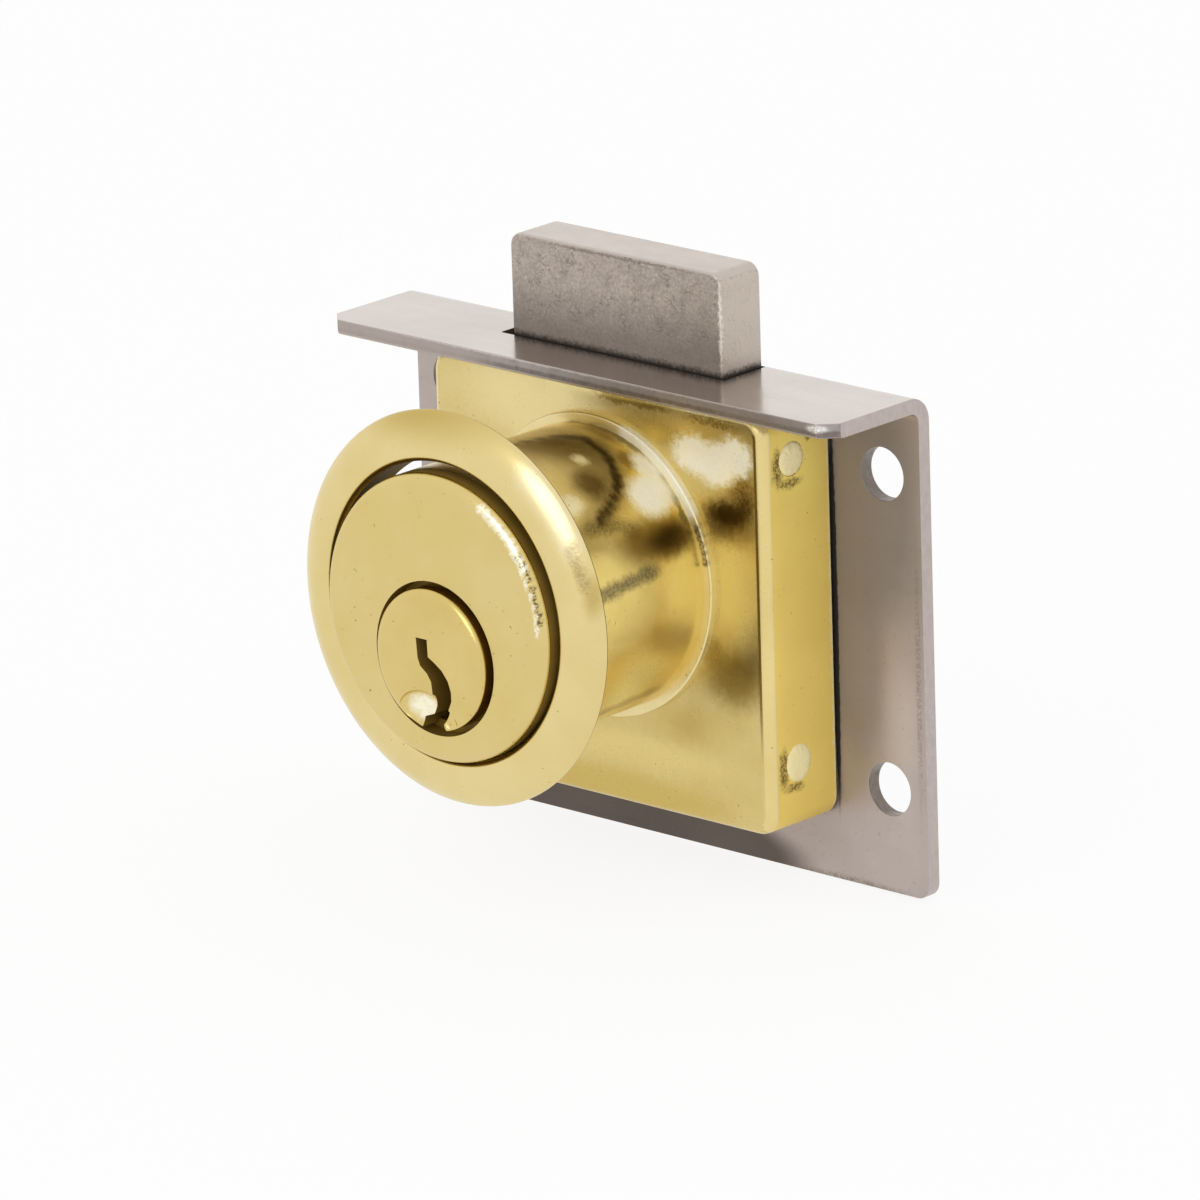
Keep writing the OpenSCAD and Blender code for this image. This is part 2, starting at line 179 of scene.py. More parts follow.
@dataclass(frozen=True)
class NodeTree:
    """Short way to lay out a material's nodes.

    Args:
        tree: the node tree that is filled.
    """

    tree: bpy.types.NodeTree

    def add(self, kind: str, **settings: object) -> bpy.types.Node:
        """Adds a node and sets its properties.

        Args:
            kind: the node's type name.
            settings: properties of the node and their values.

        Returns:
            The new node.
        """
        node = self.tree.nodes.new(kind)
        for name, value in settings.items():
            setattr(node, name, value)
        return node

    def join(self, source: Socket, target: Socket) -> None:
        """Links an output to an input."""
        self.tree.links.new(source, target)

    def place(self, stretch: Sequence[float] = (1, 1, 1)) -> Socket:
        """Object coordinates, stretched along the axes.

        Args:
            stretch: factor of the coordinate along X, Y and Z.

        Returns:
            The vector output.
        """
        place = self.add("ShaderNodeTexCoord")
        mapping = self.add("ShaderNodeMapping")
        mapping.inputs["Scale"].default_value = stretch
        self.join(place.outputs["Object"], mapping.inputs["Vector"])
        return mapping.outputs["Vector"]

    def noise(self, layer: Layer, stretch: Sequence[float] = (1, 1, 1)) -> Socket:
        """Soft noise whose features have a real size.

        Args:
            layer: its size and detail.
            stretch: factor of the coordinate along X, Y and Z.

        Returns:
            The noise's factor output.
        """
        noise = self.add("ShaderNodeTexNoise")
        noise.inputs["Scale"].default_value = 1 / layer.size
        noise.inputs["Detail"].default_value = layer.detail
        self.join(self.place(stretch), noise.inputs["Vector"])
        return noise.outputs["Fac"]

    def spread(self, layer: Layer, first: float, last: float, stretch: Sequence[float] = (1, 1, 1)) -> Socket:
        """A value that changes with a layer's noise.

        Args:
            layer: the layer.
            first: the value up to the layer's low end.
            last: the value from its high end on.
            stretch: factor of the coordinate along X, Y and Z.

        Returns:
            The value.
        """
        return self.remap(self.noise(layer, stretch), layer.low, layer.high, first, last)

    def ragged(self, size: float, amount: float, stretch: Sequence[float] = (1, 1, 1)) -> Socket:
        """Object coordinates shifted to and fro by noise, so that what is laid out on them gets ragged edges.

        Args:
            size: size of the noise's features in metres.
            amount: how far nearly all points are shifted at most, in metres.
            stretch: factor of the noise's coordinate along X, Y and Z.

        Returns:
            The vector output.
        """
        noise = self.add("ShaderNodeTexNoise")
        noise.inputs["Scale"].default_value = 1 / size
        noise.inputs["Detail"].default_value = 5
        noise.inputs["Roughness"].default_value = 0.7
        self.join(self.place(stretch), noise.inputs["Vector"])
        shift = self.add("ShaderNodeVectorMath", operation="MULTIPLY_ADD")
        shift.inputs[1].default_value = (4 * amount,) * 3
        shift.inputs[2].default_value = (-2 * amount,) * 3
        self.join(noise.outputs["Color"], shift.inputs[0])
        moved = self.add("ShaderNodeVectorMath", operation="ADD")
        self.join(self.place(), moved.inputs[0])
        self.join(shift.outputs["Vector"], moved.inputs[1])
        return moved.outputs["Vector"]

    def lay_patches(self, colour: Socket, place: Socket, patches: Sequence[Patch]) -> Socket:
        """Lays patches over a colour, each over the ones before it.

        Args:
            colour: the colour.
            place: coordinates that the patches lie on.
            patches: the patches.

        Returns:
            The colour with the patches laid over it.
        """
        specks = self.noise(SPECKS) if any(patch.broken for patch in patches) else None
        for patch in patches:
            colour = self.blend(self.spot(place, specks, patch), colour, patch.colour)
        return colour

    def spot(self, place: Socket, specks: Socket | None, patch: Patch) -> Socket:
        """Share of a patch at each point.

        Args:
            place: coordinates that the patch lies on.
            specks: noise of the specks that it leaves out, or None where it is whole.
            patch: the patch.

        Returns:
            The patch's share in its middle, falling to 0 at its edge.
        """
        mapping = self.add("ShaderNodeMapping")
        mapping.inputs["Location"].default_value = [-c / r for c, r in zip(patch.centre, patch.reach)]
        mapping.inputs["Scale"].default_value = [1 / (r * MM) for r in patch.reach]
        self.join(place, mapping.inputs["Vector"])
        length = self.add("ShaderNodeVectorMath", operation="LENGTH")
        self.join(mapping.outputs["Vector"], length.inputs[0])
        share = self.remap(length.outputs["Value"], patch.core, 1, patch.share, 0, Curve.SOFT)
        if not patch.broken:
            return share
        left_out = self.remap(specks, SPECKS.low, SPECKS.high, 1, 1 - patch.broken)
        return self.reckon(Sum.PRODUCT, share, left_out)

    def cover(self, place: Socket, patches: Sequence[Patch]) -> Socket:
        """Greatest share of any patch at each point.

        Args:
            place: coordinates that the patches lie on.
            patches: the patches.

        Returns:
            The share.
        """
        most, *others = [self.spot(place, None, replace(patch, broken=0)) for patch in patches]
        for other in others:
            most = self.reckon(Sum.GREATER, most, other)
        return most

    def reckon(self, how: Sum, first: Socket, second: Socket | float = 0.0) -> Socket:
        """Works out a value from one or two others.

        Args:
            how: what is worked out.
            first: the first value.
            second: the second value, linked or a plain number.

        Returns:
            The result.
        """
        node = self.add("ShaderNodeMath", operation=how.value)
        self.join(first, node.inputs[0])
        if isinstance(second, Socket):
            self.join(second, node.inputs[1])
        else:
            node.inputs[1].default_value = second
        return node.outputs["Value"]

    def scratches(self, size: float, width: float) -> Socket:
        """Share of short curved scratches.

        Args:
            size: size of their curls in metres.
            width: how wide they are, as the range of noise that they cover.

        Returns:
            A value of 1 in a scratch and 0 beside it.
        """
        away = self.reckon(Sum.SIZE, self.reckon(Sum.DIFFERENCE, self.noise(Layer(size, 2)), 0.5))
        line = self.remap(away, 0, width, 1, 0)
        return self.reckon(Sum.PRODUCT, line, self.spread(Layer(2.2 * size, 1, 0.5, 0.58), 0, 1))

    def remap(self, value: Socket, low: float, high: float, to_low: float,
              to_high: float, curve: Curve = Curve.STRAIGHT) -> Socket:
        """Maps a range of a value to another range, and holds it there.

        Args:
            value: the value that is mapped.
            low: value that becomes to_low.
            high: value that becomes to_high.
            to_low: result at low.
            to_high: result at high.
            curve: how the result goes from the one to the other.

        Returns:
            The mapped value.
        """
        node = self.add("ShaderNodeMapRange", interpolation_type=curve.value, clamp=True)
        for name, number in (("From Min", low), ("From Max", high), ("To Min", to_low), ("To Max", to_high)):
            node.inputs[name].default_value = number
        self.join(value, node.inputs["Value"])
        return node.outputs["Result"]

    def blend(self, factor: Socket, first: object, second: object) -> Socket:
        """Mixes two colours.

        Args:
            factor: share of the second colour.
            first: colour or socket at factor 0.
            second: colour or socket at factor 1.

        Returns:
            The mixed colour.
        """
        node = self.add("ShaderNodeMix", data_type="RGBA")
        self.join(factor, node.inputs["Factor"])
        for socket, colour in ((node.inputs["A"], first), (node.inputs["B"], second)):
            if isinstance(colour, Socket):
                self.join(colour, socket)
            else:
                socket.default_value = (*colour, 1)
        return node.outputs["Result"]

    def bump(self, height: Socket, depth: float, under: Socket | None = None) -> Socket:
        """Turns a height into a normal.

        Args:
            height: height from 0 to 1.
            depth: real height in metres at 1.
            under: normal of a coarser bump below this one.

        Returns:
            The normal output.
        """
        node = self.add("ShaderNodeBump")
        node.inputs["Strength"].default_value = 1
        node.inputs["Distance"].default_value = depth
        self.join(height, node.inputs["Height"])
        if under is not None:
            self.join(under, node.inputs["Normal"])
        return node.outputs["Normal"]


def scaled(colour: Colour, share: float) -> Colour:
    """Makes a colour darker by a share below 1, or lighter by one above it."""
    return tuple(share * c for c in colour)


def new_material(name: str) -> tuple[Material, NodeTree, bpy.types.Node]:
    """Starts a material that holds a single metal shader.

    Args:
        name: the material's name.

    Returns:
        The material, its node layout and its shader node.
    """
    material = bpy.data.materials.new(name)
    material.use_nodes = True
    shader = material.node_tree.nodes["Principled BSDF"]
    shader.inputs["Metallic"].default_value = 1
    return material, NodeTree(material.node_tree), shader


@dataclass(frozen=True)
class PolishedPlating:
    """Bright plating over a polished casting or pressing: waves, fine grain, pits and small dark marks.

    Args:
        name: the finish's name.
        light: colour of clean metal.
        deep: colour of tarnished patches.
        gloss: roughness where it is cleanest.
        dull: roughness where wear has roughened it most.
        wave: height of the surface's waves.
        grain: direction of the polishing marks.
        grain_depth: height of the polishing marks.
        marks: share of the surface with small dark marks.
        metal: share of the surface that shows bare metal.
        patches: discoloured and thin places, painted reflections and painted shade.
        painted_highlights: painted highlights, made matt and laid over the patches.
        ragged: how far the patches' edges wander.
        film: strength of the reflection where it shows no bare metal.
    """

    # Noise of the tarnish, the dark marks, the wear, the waves, the polishing marks and the pits.
    CLOUDS = Layer(5 * MM, 3, 0.35, 0.7)
    MARKS = Layer(0.28 * MM, 2, 0.74, 0.78)
    WEAR = Layer(1.6 * MM, 4, 0.3, 0.75)
    WAVES = Layer(3.2 * MM, 1)
    LINES = Layer(0.35 * MM, 3)
    PITS = Layer(0.5 * MM, 1, 0.7, 0.78)
    PIT_DEPTH = 0.006 * MM
    # Size of the shreds at the patches' edges, and share of bare metal in the painted highlights.
    FRAY = 0.5 * MM
    PAINTED_HIGHLIGHT_METAL = 0.2

    name: str
    light: Colour
    deep: Colour
    gloss: float = 0.1
    dull: float = 0.2
    wave: float = 0.012 * MM
    grain: Grain = Grain.EVEN
    grain_depth: float = 0.0012 * MM
    marks: float = 0.02
    metal: float = 1.0
    patches: tuple[Patch, ...] = ()
    painted_highlights: tuple[Patch, ...] = ()
    ragged: float = 0.35 * MM
    film: float = 0.2

    def make(self) -> Material:
        """Builds the material.

        Returns:
            The material.
        """
        material, nodes, shader = new_material(self.name)
        shader.inputs["Metallic"].default_value = self.metal
        shader.inputs["Specular IOR Level"].default_value = self.film
        colour = nodes.blend(nodes.spread(self.CLOUDS, 0, 1), self.light, self.deep)
        place = nodes.ragged(self.FRAY, self.ragged, self.grain.value)
        # The patches carry painted reflections and painted shade; the painted highlights go on last and are
        # made matt.
        colour = nodes.lay_patches(colour, place, self.patches + self.painted_highlights)
        if self.painted_highlights:
            metal = nodes.remap(nodes.cover(place, self.painted_highlights), 0, 1, self.metal, self.PAINTED_HIGHLIGHT_METAL)
            nodes.join(metal, shader.inputs["Metallic"])
        marks = replace(self.MARKS, low=self.MARKS.low - self.marks, high=self.MARKS.high - self.marks)
        colour = nodes.blend(nodes.spread(marks, 0, 0.75), colour, scaled(self.deep, 0.35))
        nodes.join(colour, shader.inputs["Base Color"])
        wear = nodes.spread(self.WEAR, self.gloss, self.dull, self.grain.value)
        nodes.join(wear, shader.inputs["Roughness"])
        waves = nodes.bump(nodes.noise(self.WAVES), self.wave)
        lines = nodes.bump(nodes.noise(self.LINES, self.grain.value), self.grain_depth, waves)
        pits = nodes.bump(nodes.spread(self.PITS, 1, 0), self.PIT_DEPTH, lines)
        nodes.join(pits, shader.inputs["Normal"])
        return material


@dataclass(frozen=True)
class RolledNickel:
    """Nickel-plated rolled sheet: soft sheen, faint rolling lines and clouds.

    Args:
        name: the finish's name.
        light: colour of clean plating.
        deep: colour of duller clouds.
        gloss: roughness where it is cleanest.
        dull: roughness where it is dullest.
        grain: direction of the rolling lines.
        metal: share of the surface that shows bare metal.
        patches: duller and lighter places, painted shade and painted light among them.
        ragged: how far the patches' edges wander.
    """

    # Noise of the clouds, the dark marks, the wear, the waves and the rolling lines.
    CLOUDS = Layer(7 * MM, 4, 0.35, 0.7)
    MARKS = Layer(0.22 * MM, 2, 0.66, 0.74)
    WEAR = Layer(1.2 * MM, 5, 0.3, 0.75)
    WAVES = Layer(6 * MM, 1)
    WAVE_DEPTH = 0.01 * MM
    LINES = Layer(0.16 * MM, 3)
    LINE_DEPTH = 0.0016 * MM
    # Size of the shreds at the patches' edges.
    FRAY = 0.6 * MM

    name: str
    light: Colour
    deep: Colour
    gloss: float = 0.2
    dull: float = 0.3
    grain: Grain = Grain.ALONG_WIDTH
    metal: float = 1.0
    patches: tuple[Patch, ...] = ()
    ragged: float = 0.14 * MM

    def make(self) -> Material:
        """Builds the material.

        Returns:
            The material.
        """
        material, nodes, shader = new_material(self.name)
        shader.inputs["Metallic"].default_value = self.metal
        colour = nodes.blend(nodes.spread(self.CLOUDS, 0, 1), self.light, self.deep)
        colour = nodes.lay_patches(colour, nodes.ragged(self.FRAY, self.ragged), self.patches)
        colour = nodes.blend(nodes.spread(self.MARKS, 0, 0.35), colour, scaled(self.deep, 0.5))
        nodes.join(colour, shader.inputs["Base Color"])
        wear = nodes.spread(self.WEAR, self.gloss, self.dull, self.grain.value)
        nodes.join(wear, shader.inputs["Roughness"])
        waves = nodes.bump(nodes.noise(self.WAVES), self.WAVE_DEPTH)
        lines = nodes.bump(nodes.noise(self.LINES, self.grain.value), self.LINE_DEPTH, waves)
        nodes.join(lines, shader.inputs["Normal"])
        return material


@dataclass(frozen=True)
class ShearedEdge:
    """Cut edge of plated sheet: a smooth bright band above a darker torn one with upright streaks.

    Args:
        name: the finish's name.
        light: colour of the smooth band.
        deep: colour of the torn band.
        split: height in the frame where the torn band starts, or None where there is no band.
        band: height of the change between the bands.
        patches: lighter places on the edge, painted highlights among them.
    """

    METAL = 0.6
    GRIT = Layer(0.3 * MM, 4, 0.35, 0.7)
    GRIT_DEPTH = 0.008 * MM
    # Size of the shreds at the band's and the patches' edges, and how far they wander.
    FRAY = 0.4 * MM
    FRAY_W = 0.06 * MM

    name: str
    light: Colour
    deep: Colour
    split: float | None = None
    band: float = 0.07 * MM
    patches: tuple[Patch, ...] = ()

    def make(self) -> Material:
        """Builds the material.

        Returns:
            The material.
        """
        material, nodes, shader = new_material(self.name)
        shader.inputs["Metallic"].default_value = self.METAL
        grit = nodes.noise(self.GRIT, Grain.TORN.value)
        low, high = self.GRIT.low, self.GRIT.high
        place = nodes.ragged(self.FRAY, self.FRAY_W)
        if self.split is None:
            share = nodes.remap(grit, low, high, 0, 0.5)
        else:
            height = nodes.add("ShaderNodeSeparateXYZ")
            nodes.join(place, height.inputs["Vector"])
            torn = nodes.remap(height.outputs["Z"], self.split - self.band, self.split + self.band, 0.75, 0)
            both = nodes.add("ShaderNodeMath", operation="ADD", use_clamp=True)
            nodes.join(torn, both.inputs[0])
            nodes.join(nodes.remap(grit, low, high, -0.1, 0.25), both.inputs[1])
            share = both.outputs["Value"]
        colour = nodes.lay_patches(nodes.blend(share, self.light, self.deep), place, self.patches)
        nodes.join(colour, shader.inputs["Base Color"])
        nodes.join(nodes.remap(grit, low, high, 0.3, 0.45), shader.inputs["Roughness"])
        nodes.join(nodes.bump(grit, self.GRIT_DEPTH), shader.inputs["Normal"])
        return material


@dataclass(frozen=True)
class BlastedSteel:
    """Grainy plated bolt: a fine blasted and scratched skin with painted glints, painted shade towards its
    foot and a thin dark band along the foot.

    Args:
        name: the finish's name.
        light: colour of the skin.
        deep: colour of its nicks and of its painted shade.
        foot: height in the frame of the flange's top, along which the thin dark band lies.
        shaded: height in the frame below which the painted shade is full.
        clean: height in the frame above which the painted shade is gone.
        patches: painted light and darker places.
    """

    METAL = 0.7
    GRAIN = Layer(0.2 * MM, 5, 0.35, 0.65)
    GRAIN_DEPTH = 0.014 * MM
    MOTTLE = Layer(1.3 * MM, 4, 0.4, 0.7)
    GLINTS = Layer(0.25 * MM, 3, 0.62, 0.7)
    SCRATCH = 0.5 * MM
    SCRATCH_W = 0.035
    SCRATCH_DEPTH = 0.012 * MM
    # Size of the shreds at the patches' edges, and how far they wander.
    FRAY = 0.3 * MM
    FRAY_W = 0.18 * MM
    # Heights above the foot up to which the thin dark band is full, and from which it is gone.
    FOOT_BAND_FULL = 0.12 * MM
    FOOT_BAND_GONE = 0.5 * MM

    name: str
    light: Colour
    deep: Colour
    foot: float
    shaded: float
    clean: float
    patches: tuple[Patch, ...] = ()

    def make(self) -> Material:
        """Builds the material.

        Returns:
            The material.
        """
        material, nodes, shader = new_material(self.name)
        shader.inputs["Metallic"].default_value = self.METAL
        grain = nodes.noise(self.GRAIN)
        grain_share = nodes.remap(grain, self.GRAIN.low, self.GRAIN.high, 0.4, 0)
        colour = nodes.blend(grain_share, self.light, self.deep)
        colour = nodes.blend(nodes.spread(self.MOTTLE, 0, 0.3), colour, self.deep)
        scratches = nodes.scratches(self.SCRATCH, self.SCRATCH_W)
        colour = nodes.blend(nodes.remap(scratches, 0, 1, 0, 0.75), colour, self.deep)
        colour = nodes.blend(nodes.spread(self.GLINTS, 0, 0.6), colour, scaled(self.light, 1.35))
        height = nodes.add("ShaderNodeSeparateXYZ")
        place = nodes.ragged(self.FRAY, self.FRAY_W)
        nodes.join(place, height.inputs["Vector"])
        # Painted shade, deepest towards the flange.
        shade = nodes.remap(height.outputs["Z"], self.shaded, self.clean, 0.68, 0)
        colour = nodes.blend(shade, colour, self.deep)
        colour = nodes.lay_patches(colour, place, self.patches)
        # A thin dark band along the foot.
        foot_band = nodes.remap(height.outputs["Z"], self.foot + self.FOOT_BAND_FULL, self.foot + self.FOOT_BAND_GONE,
                            0.92, 0)
        nodes.join(nodes.blend(foot_band, colour, scaled(self.deep, 0.12)), shader.inputs["Base Color"])
        nodes.join(nodes.remap(grain, 0.3, 0.7, 0.46, 0.36), shader.inputs["Roughness"])
        dents = nodes.bump(nodes.remap(scratches, 0, 1, 1, 0), self.SCRATCH_DEPTH)
        nodes.join(nodes.bump(grain, self.GRAIN_DEPTH, dents), shader.inputs["Normal"])
        return material


@dataclass(frozen=True)
class PlainMetal:
    """Turned, drawn or cast metal of the inner pieces, with a light grain.

    Args:
        metal: which metal it is.
        light: colour of clean metal.
        deep: colour of its darker grain.
        rough: mean roughness.
        size: size of the grain.
        depth: height of the grain.
    """

    metal: Metal
    light: Colour
    deep: Colour
    rough: float = 0.3
    size: float = 0.3 * MM
    depth: float = 0.004 * MM

    def make(self) -> Material:
        """Builds the material.

        Returns:
            The material.
        """
        material, nodes, shader = new_material(self.metal.value)
        grain = nodes.noise(Layer(self.size, 4))
        colour = nodes.blend(nodes.remap(grain, 0.35, 0.65, 0, 1), self.light, self.deep)
        nodes.join(colour, shader.inputs["Base Color"])
        rough = nodes.remap(grain, 0.3, 0.7, 0.8 * self.rough, 1.2 * self.rough)
        nodes.join(rough, shader.inputs["Roughness"])
        nodes.join(nodes.bump(grain, self.depth), shader.inputs["Normal"])
        return material


class Bench:
    """Modelling moves that the pieces share."""

    @staticmethod
    def clear() -> None:
        """Leaves edit mode and deselects everything."""
        if bpy.context.object is not None and bpy.context.object.mode == "EDIT":
            bpy.ops.object.mode_set(mode="OBJECT")
        bpy.ops.object.select_all(action="DESELECT")

    @staticmethod
    def hold(piece: Piece) -> None:
        """Makes a piece the only selected and the active one.

        Args:
            piece: the piece.
        """
        Bench.clear()
        piece.select_set(True)
        bpy.context.view_layer.objects.active = piece

    @staticmethod
    def _start(name: str, first: Vector) -> Piece:
        """Adds an object that holds one vertex, and stays in edit mode with it selected.

        Args:
            name: the object's name.
            first: place of the vertex.

        Returns:
            The object.
        """
        Bench.clear()
        bpy.ops.mesh.primitive_plane_add(size=2 * MM, location=(0, 0, 0))
        piece = bpy.context.object
        piece.name = piece.data.name = name
        bpy.ops.object.mode_set(mode="EDIT")
        bpy.ops.mesh.select_all(action="SELECT")
        bpy.ops.mesh.merge(type="CENTER")
        bpy.ops.transform.translate(value=first)
        return piece

    @staticmethod
    def _walk(points: Sequence[Vector]) -> None:
        """Extrudes the selected vertex from point to point.

        Args:
            points: the whole path, its first point being where the vertex lies.
        """
        for here, there in zip(points, points[1:]):
            bpy.ops.mesh.extrude_region_move(TRANSFORM_OT_translate={"value": there - here})

    @staticmethod
    def prism(name: str, outline: Sequence[Vector], along: Vector) -> Piece:
        """Draws a closed outline, fills it and extrudes it.

        Args:
            name: the object's name.
            outline: the outline's corners in order.
            along: the extrusion's direction and length.

        Returns:
            The closed solid.
        """
        piece = Bench._start(name, outline[0])
        Bench._walk(outline)
        bpy.ops.mesh.select_all(action="SELECT")
        bpy.ops.mesh.edge_face_add()
        bpy.ops.mesh.extrude_region_move(TRANSFORM_OT_translate={"value": along})
        Bench._outwards()
        return piece

    @staticmethod
    def _outwards() -> None:
        """Merges doubles, turns all faces outwards and leaves edit mode."""
        bpy.ops.mesh.select_all(action="SELECT")
        bpy.ops.mesh.remove_doubles(threshold=SAME)
        bpy.ops.mesh.normals_make_consistent(inside=False)
        bpy.ops.mesh.select_all(action="DESELECT")
        bpy.ops.object.mode_set(mode="OBJECT")

    @staticmethod
    def turned(name: str, profile: Sequence[Point], axis_z: float, steps: int = ROUND_STEPS,
               closed: bool = False) -> Piece:
        """Spins a half section about an axis along the depth.

        Args:
            name: the object's name.
            profile: radius and depth of the section's points.
            axis_z: height of the axis.
            steps: number of steps round.
            closed: whether the section's last point joins its first, as for a ring.

        Returns:
            The closed solid.
        """
        path = [Vector((radius, -depth, axis_z)) for radius, depth in profile]
        piece = Bench._start(name, path[0])
        Bench._walk(path + path[:1] if closed else path)
        bpy.ops.mesh.select_all(action="SELECT")
        if closed:
            bpy.ops.mesh.remove_doubles(threshold=SAME)
        bpy.ops.mesh.spin(steps=steps, angle=2 * math.pi, center=(0, 0, axis_z), axis=(0, 1, 0))
        Bench._outwards()
        return piece

    @staticmethod
    def block(name: str, low: Vector, high: Vector) -> Piece:
        """Adds a box between two corners and leaves it in edit mode with nothing selected.

        Args:
            name: the object's name.
            low: lowest corner.
            high: highest corner.

        Returns:
            The box, its place in its mesh.
        """
        Bench.clear()
        bpy.ops.mesh.primitive_cube_add(size=1, location=(low + high) / 2)
        piece = bpy.context.object
        piece.name = piece.data.name = name
        piece.scale = high - low
        bpy.ops.object.transform_apply(location=True, rotation=True, scale=True)
        bpy.ops.object.mode_set(mode="EDIT")
        bpy.ops.mesh.select_all(action="DESELECT")
        return piece

    @staticmethod
    def round_edges(piece: Piece, chosen: Callable[[Vector, Vector], bool], radius: float,
                    segments: int) -> None:
        """Rounds the edges of a box or plate that a test picks.

        Args:
            piece: the piece.
            chosen: tells from an edge's two ends whether it is rounded.
            radius: radius of the rounding.
            segments: number of faces across it; one makes a chamfer.
        """
        Bench.hold(piece)
        bpy.ops.object.mode_set(mode="EDIT")
        bpy.ops.mesh.select_mode(type="EDGE")
        bpy.ops.mesh.select_all(action="DESELECT")
        bpy.ops.object.mode_set(mode="OBJECT")
        points = piece.data.vertices
        for edge in piece.data.edges:
            a, b = (points[i].co for i in edge.vertices)
            edge.select = chosen(a, b)
        bpy.ops.object.mode_set(mode="EDIT")
        bpy.ops.mesh.bevel(offset=radius, segments=segments, profile=0.5, affect="EDGES")
        bpy.ops.mesh.select_mode(type="VERT")
        bpy.ops.mesh.select_all(action="DESELECT")
        bpy.ops.object.mode_set(mode="OBJECT")

    @staticmethod
    def bar(name: str, start: Vector, end: Vector, radius: float, steps: int = HOLE_STEPS) -> Piece:
        """Adds a round bar, used to drill holes.

        Args:
            name: the object's name.
            start: centre of one end.
            end: centre of the other end.
            radius: its radius.
            steps: number of sides.

        Returns:
            The bar, its place in its mesh.
        """
        Bench.clear()
        along = end - start
        bpy.ops.mesh.primitive_cylinder_add(vertices=steps, radius=radius, depth=along.length,
                                            location=(start + end) / 2)
        piece = bpy.context.object
        piece.name = piece.data.name = name
        piece.rotation_mode = "QUATERNION"
        piece.rotation_quaternion = along.to_track_quat("Z", "Y")
        bpy.ops.object.transform_apply(location=True, rotation=True, scale=True)
        return piece

    @staticmethod
    def combine(piece: Piece, tool: Piece, use: Use = Use.CUT) -> None:
        """Cuts a tool shape out of a piece, or fuses it to the piece, and removes the tool.

        Args:
            piece: the piece.
            tool: the closed tool shape.
            use: whether it is cut out or fused.
        """
        Bench.hold(piece)
        modifier = piece.modifiers.new("combine", "BOOLEAN")
        modifier.operation = use.value
        modifier.object = tool
        modifier.solver = "EXACT"
        bpy.ops.object.modifier_apply(modifier=modifier.name)
        mesh = tool.data
        bpy.data.objects.remove(tool)
        bpy.data.meshes.remove(mesh)

    @staticmethod
    def drill(piece: Piece, start: Vector, end: Vector, radius: float,
              steps: int = HOLE_STEPS) -> None:
        """Drills a round hole.

        Args:
            piece: the piece.
            start: centre of the drill's one end.
            end: centre of its other end.
            radius: the hole's radius.
            steps: number of sides.
        """
        Bench.combine(piece, Bench.bar("drill", start, end, radius, steps))

    @staticmethod
    def break_edges(piece: Piece, width: float, segments: int = 2, angle: float = 40) -> None:
        """Breaks the sharp edges of a finished shape and shades it smooth.

        Args:
            piece: the piece.
            width: width of the broken edge.
            segments: faces across it.
            angle: least angle in degrees of an edge that is broken.
        """
        Bench.hold(piece)
        bpy.ops.object.shade_smooth()
        modifier = piece.modifiers.new("broken edges", "BEVEL")
        modifier.width = width
        modifier.segments = segments
        modifier.limit_method = "ANGLE"
        modifier.angle_limit = math.radians(angle)
        modifier.use_clamp_overlap = True
        modifier.harden_normals = True
        bpy.ops.object.modifier_apply(modifier=modifier.name)

    @staticmethod
    def paint(piece: Piece, material: Material,
              chosen: Callable[[Vector, Vector], bool] | None = None) -> None:
        """Gives a piece its material, or only those faces that a test picks.

        Args:
            piece: the piece.
            material: the material.
            chosen: tells from a face's centre and normal whether it is painted; none means all faces.
        """
        if chosen is None:
            piece.data.materials.clear()
        piece.data.materials.append(material)
        index = len(piece.data.materials) - 1
        for face in piece.data.polygons:
            if chosen is None or chosen(face.center, face.normal):
                face.material_index = index


def arc(centre: Point, radius: float, start: float, end: float, steps: int,
        depth: float = 1.0) -> list[Point]:
    """Points along an arc.

    Args:
        centre: centre of the arc.
        radius: its radius.
        start: first angle in degrees.
        end: last angle in degrees.
        steps: number of steps between them.
        depth: the second coordinate's share of the radius, below 1 for a flattened arc.

    Returns:
        The points, both ends included.
    """
    angles = [math.radians(start + (end - start) * i / steps) for i in range(steps + 1)]
    return [(centre[0] + radius * math.cos(a), centre[1] + depth * radius * math.sin(a)) for a in angles]


@dataclass(frozen=True)
class Box:
    """The space that a piece takes in the frame.

    Args:
        low: its lowest corner.
        high: its highest corner.
    """

    low: Vector
    high: Vector

    @classmethod
    def of(cls, node: str) -> "Box":
        """Reads the box of one of the frame's nodes."""
        return cls(*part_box(node))

    @property
    def middle(self) -> Vector:
        """Its middle."""
        return (self.low + self.high) / 2


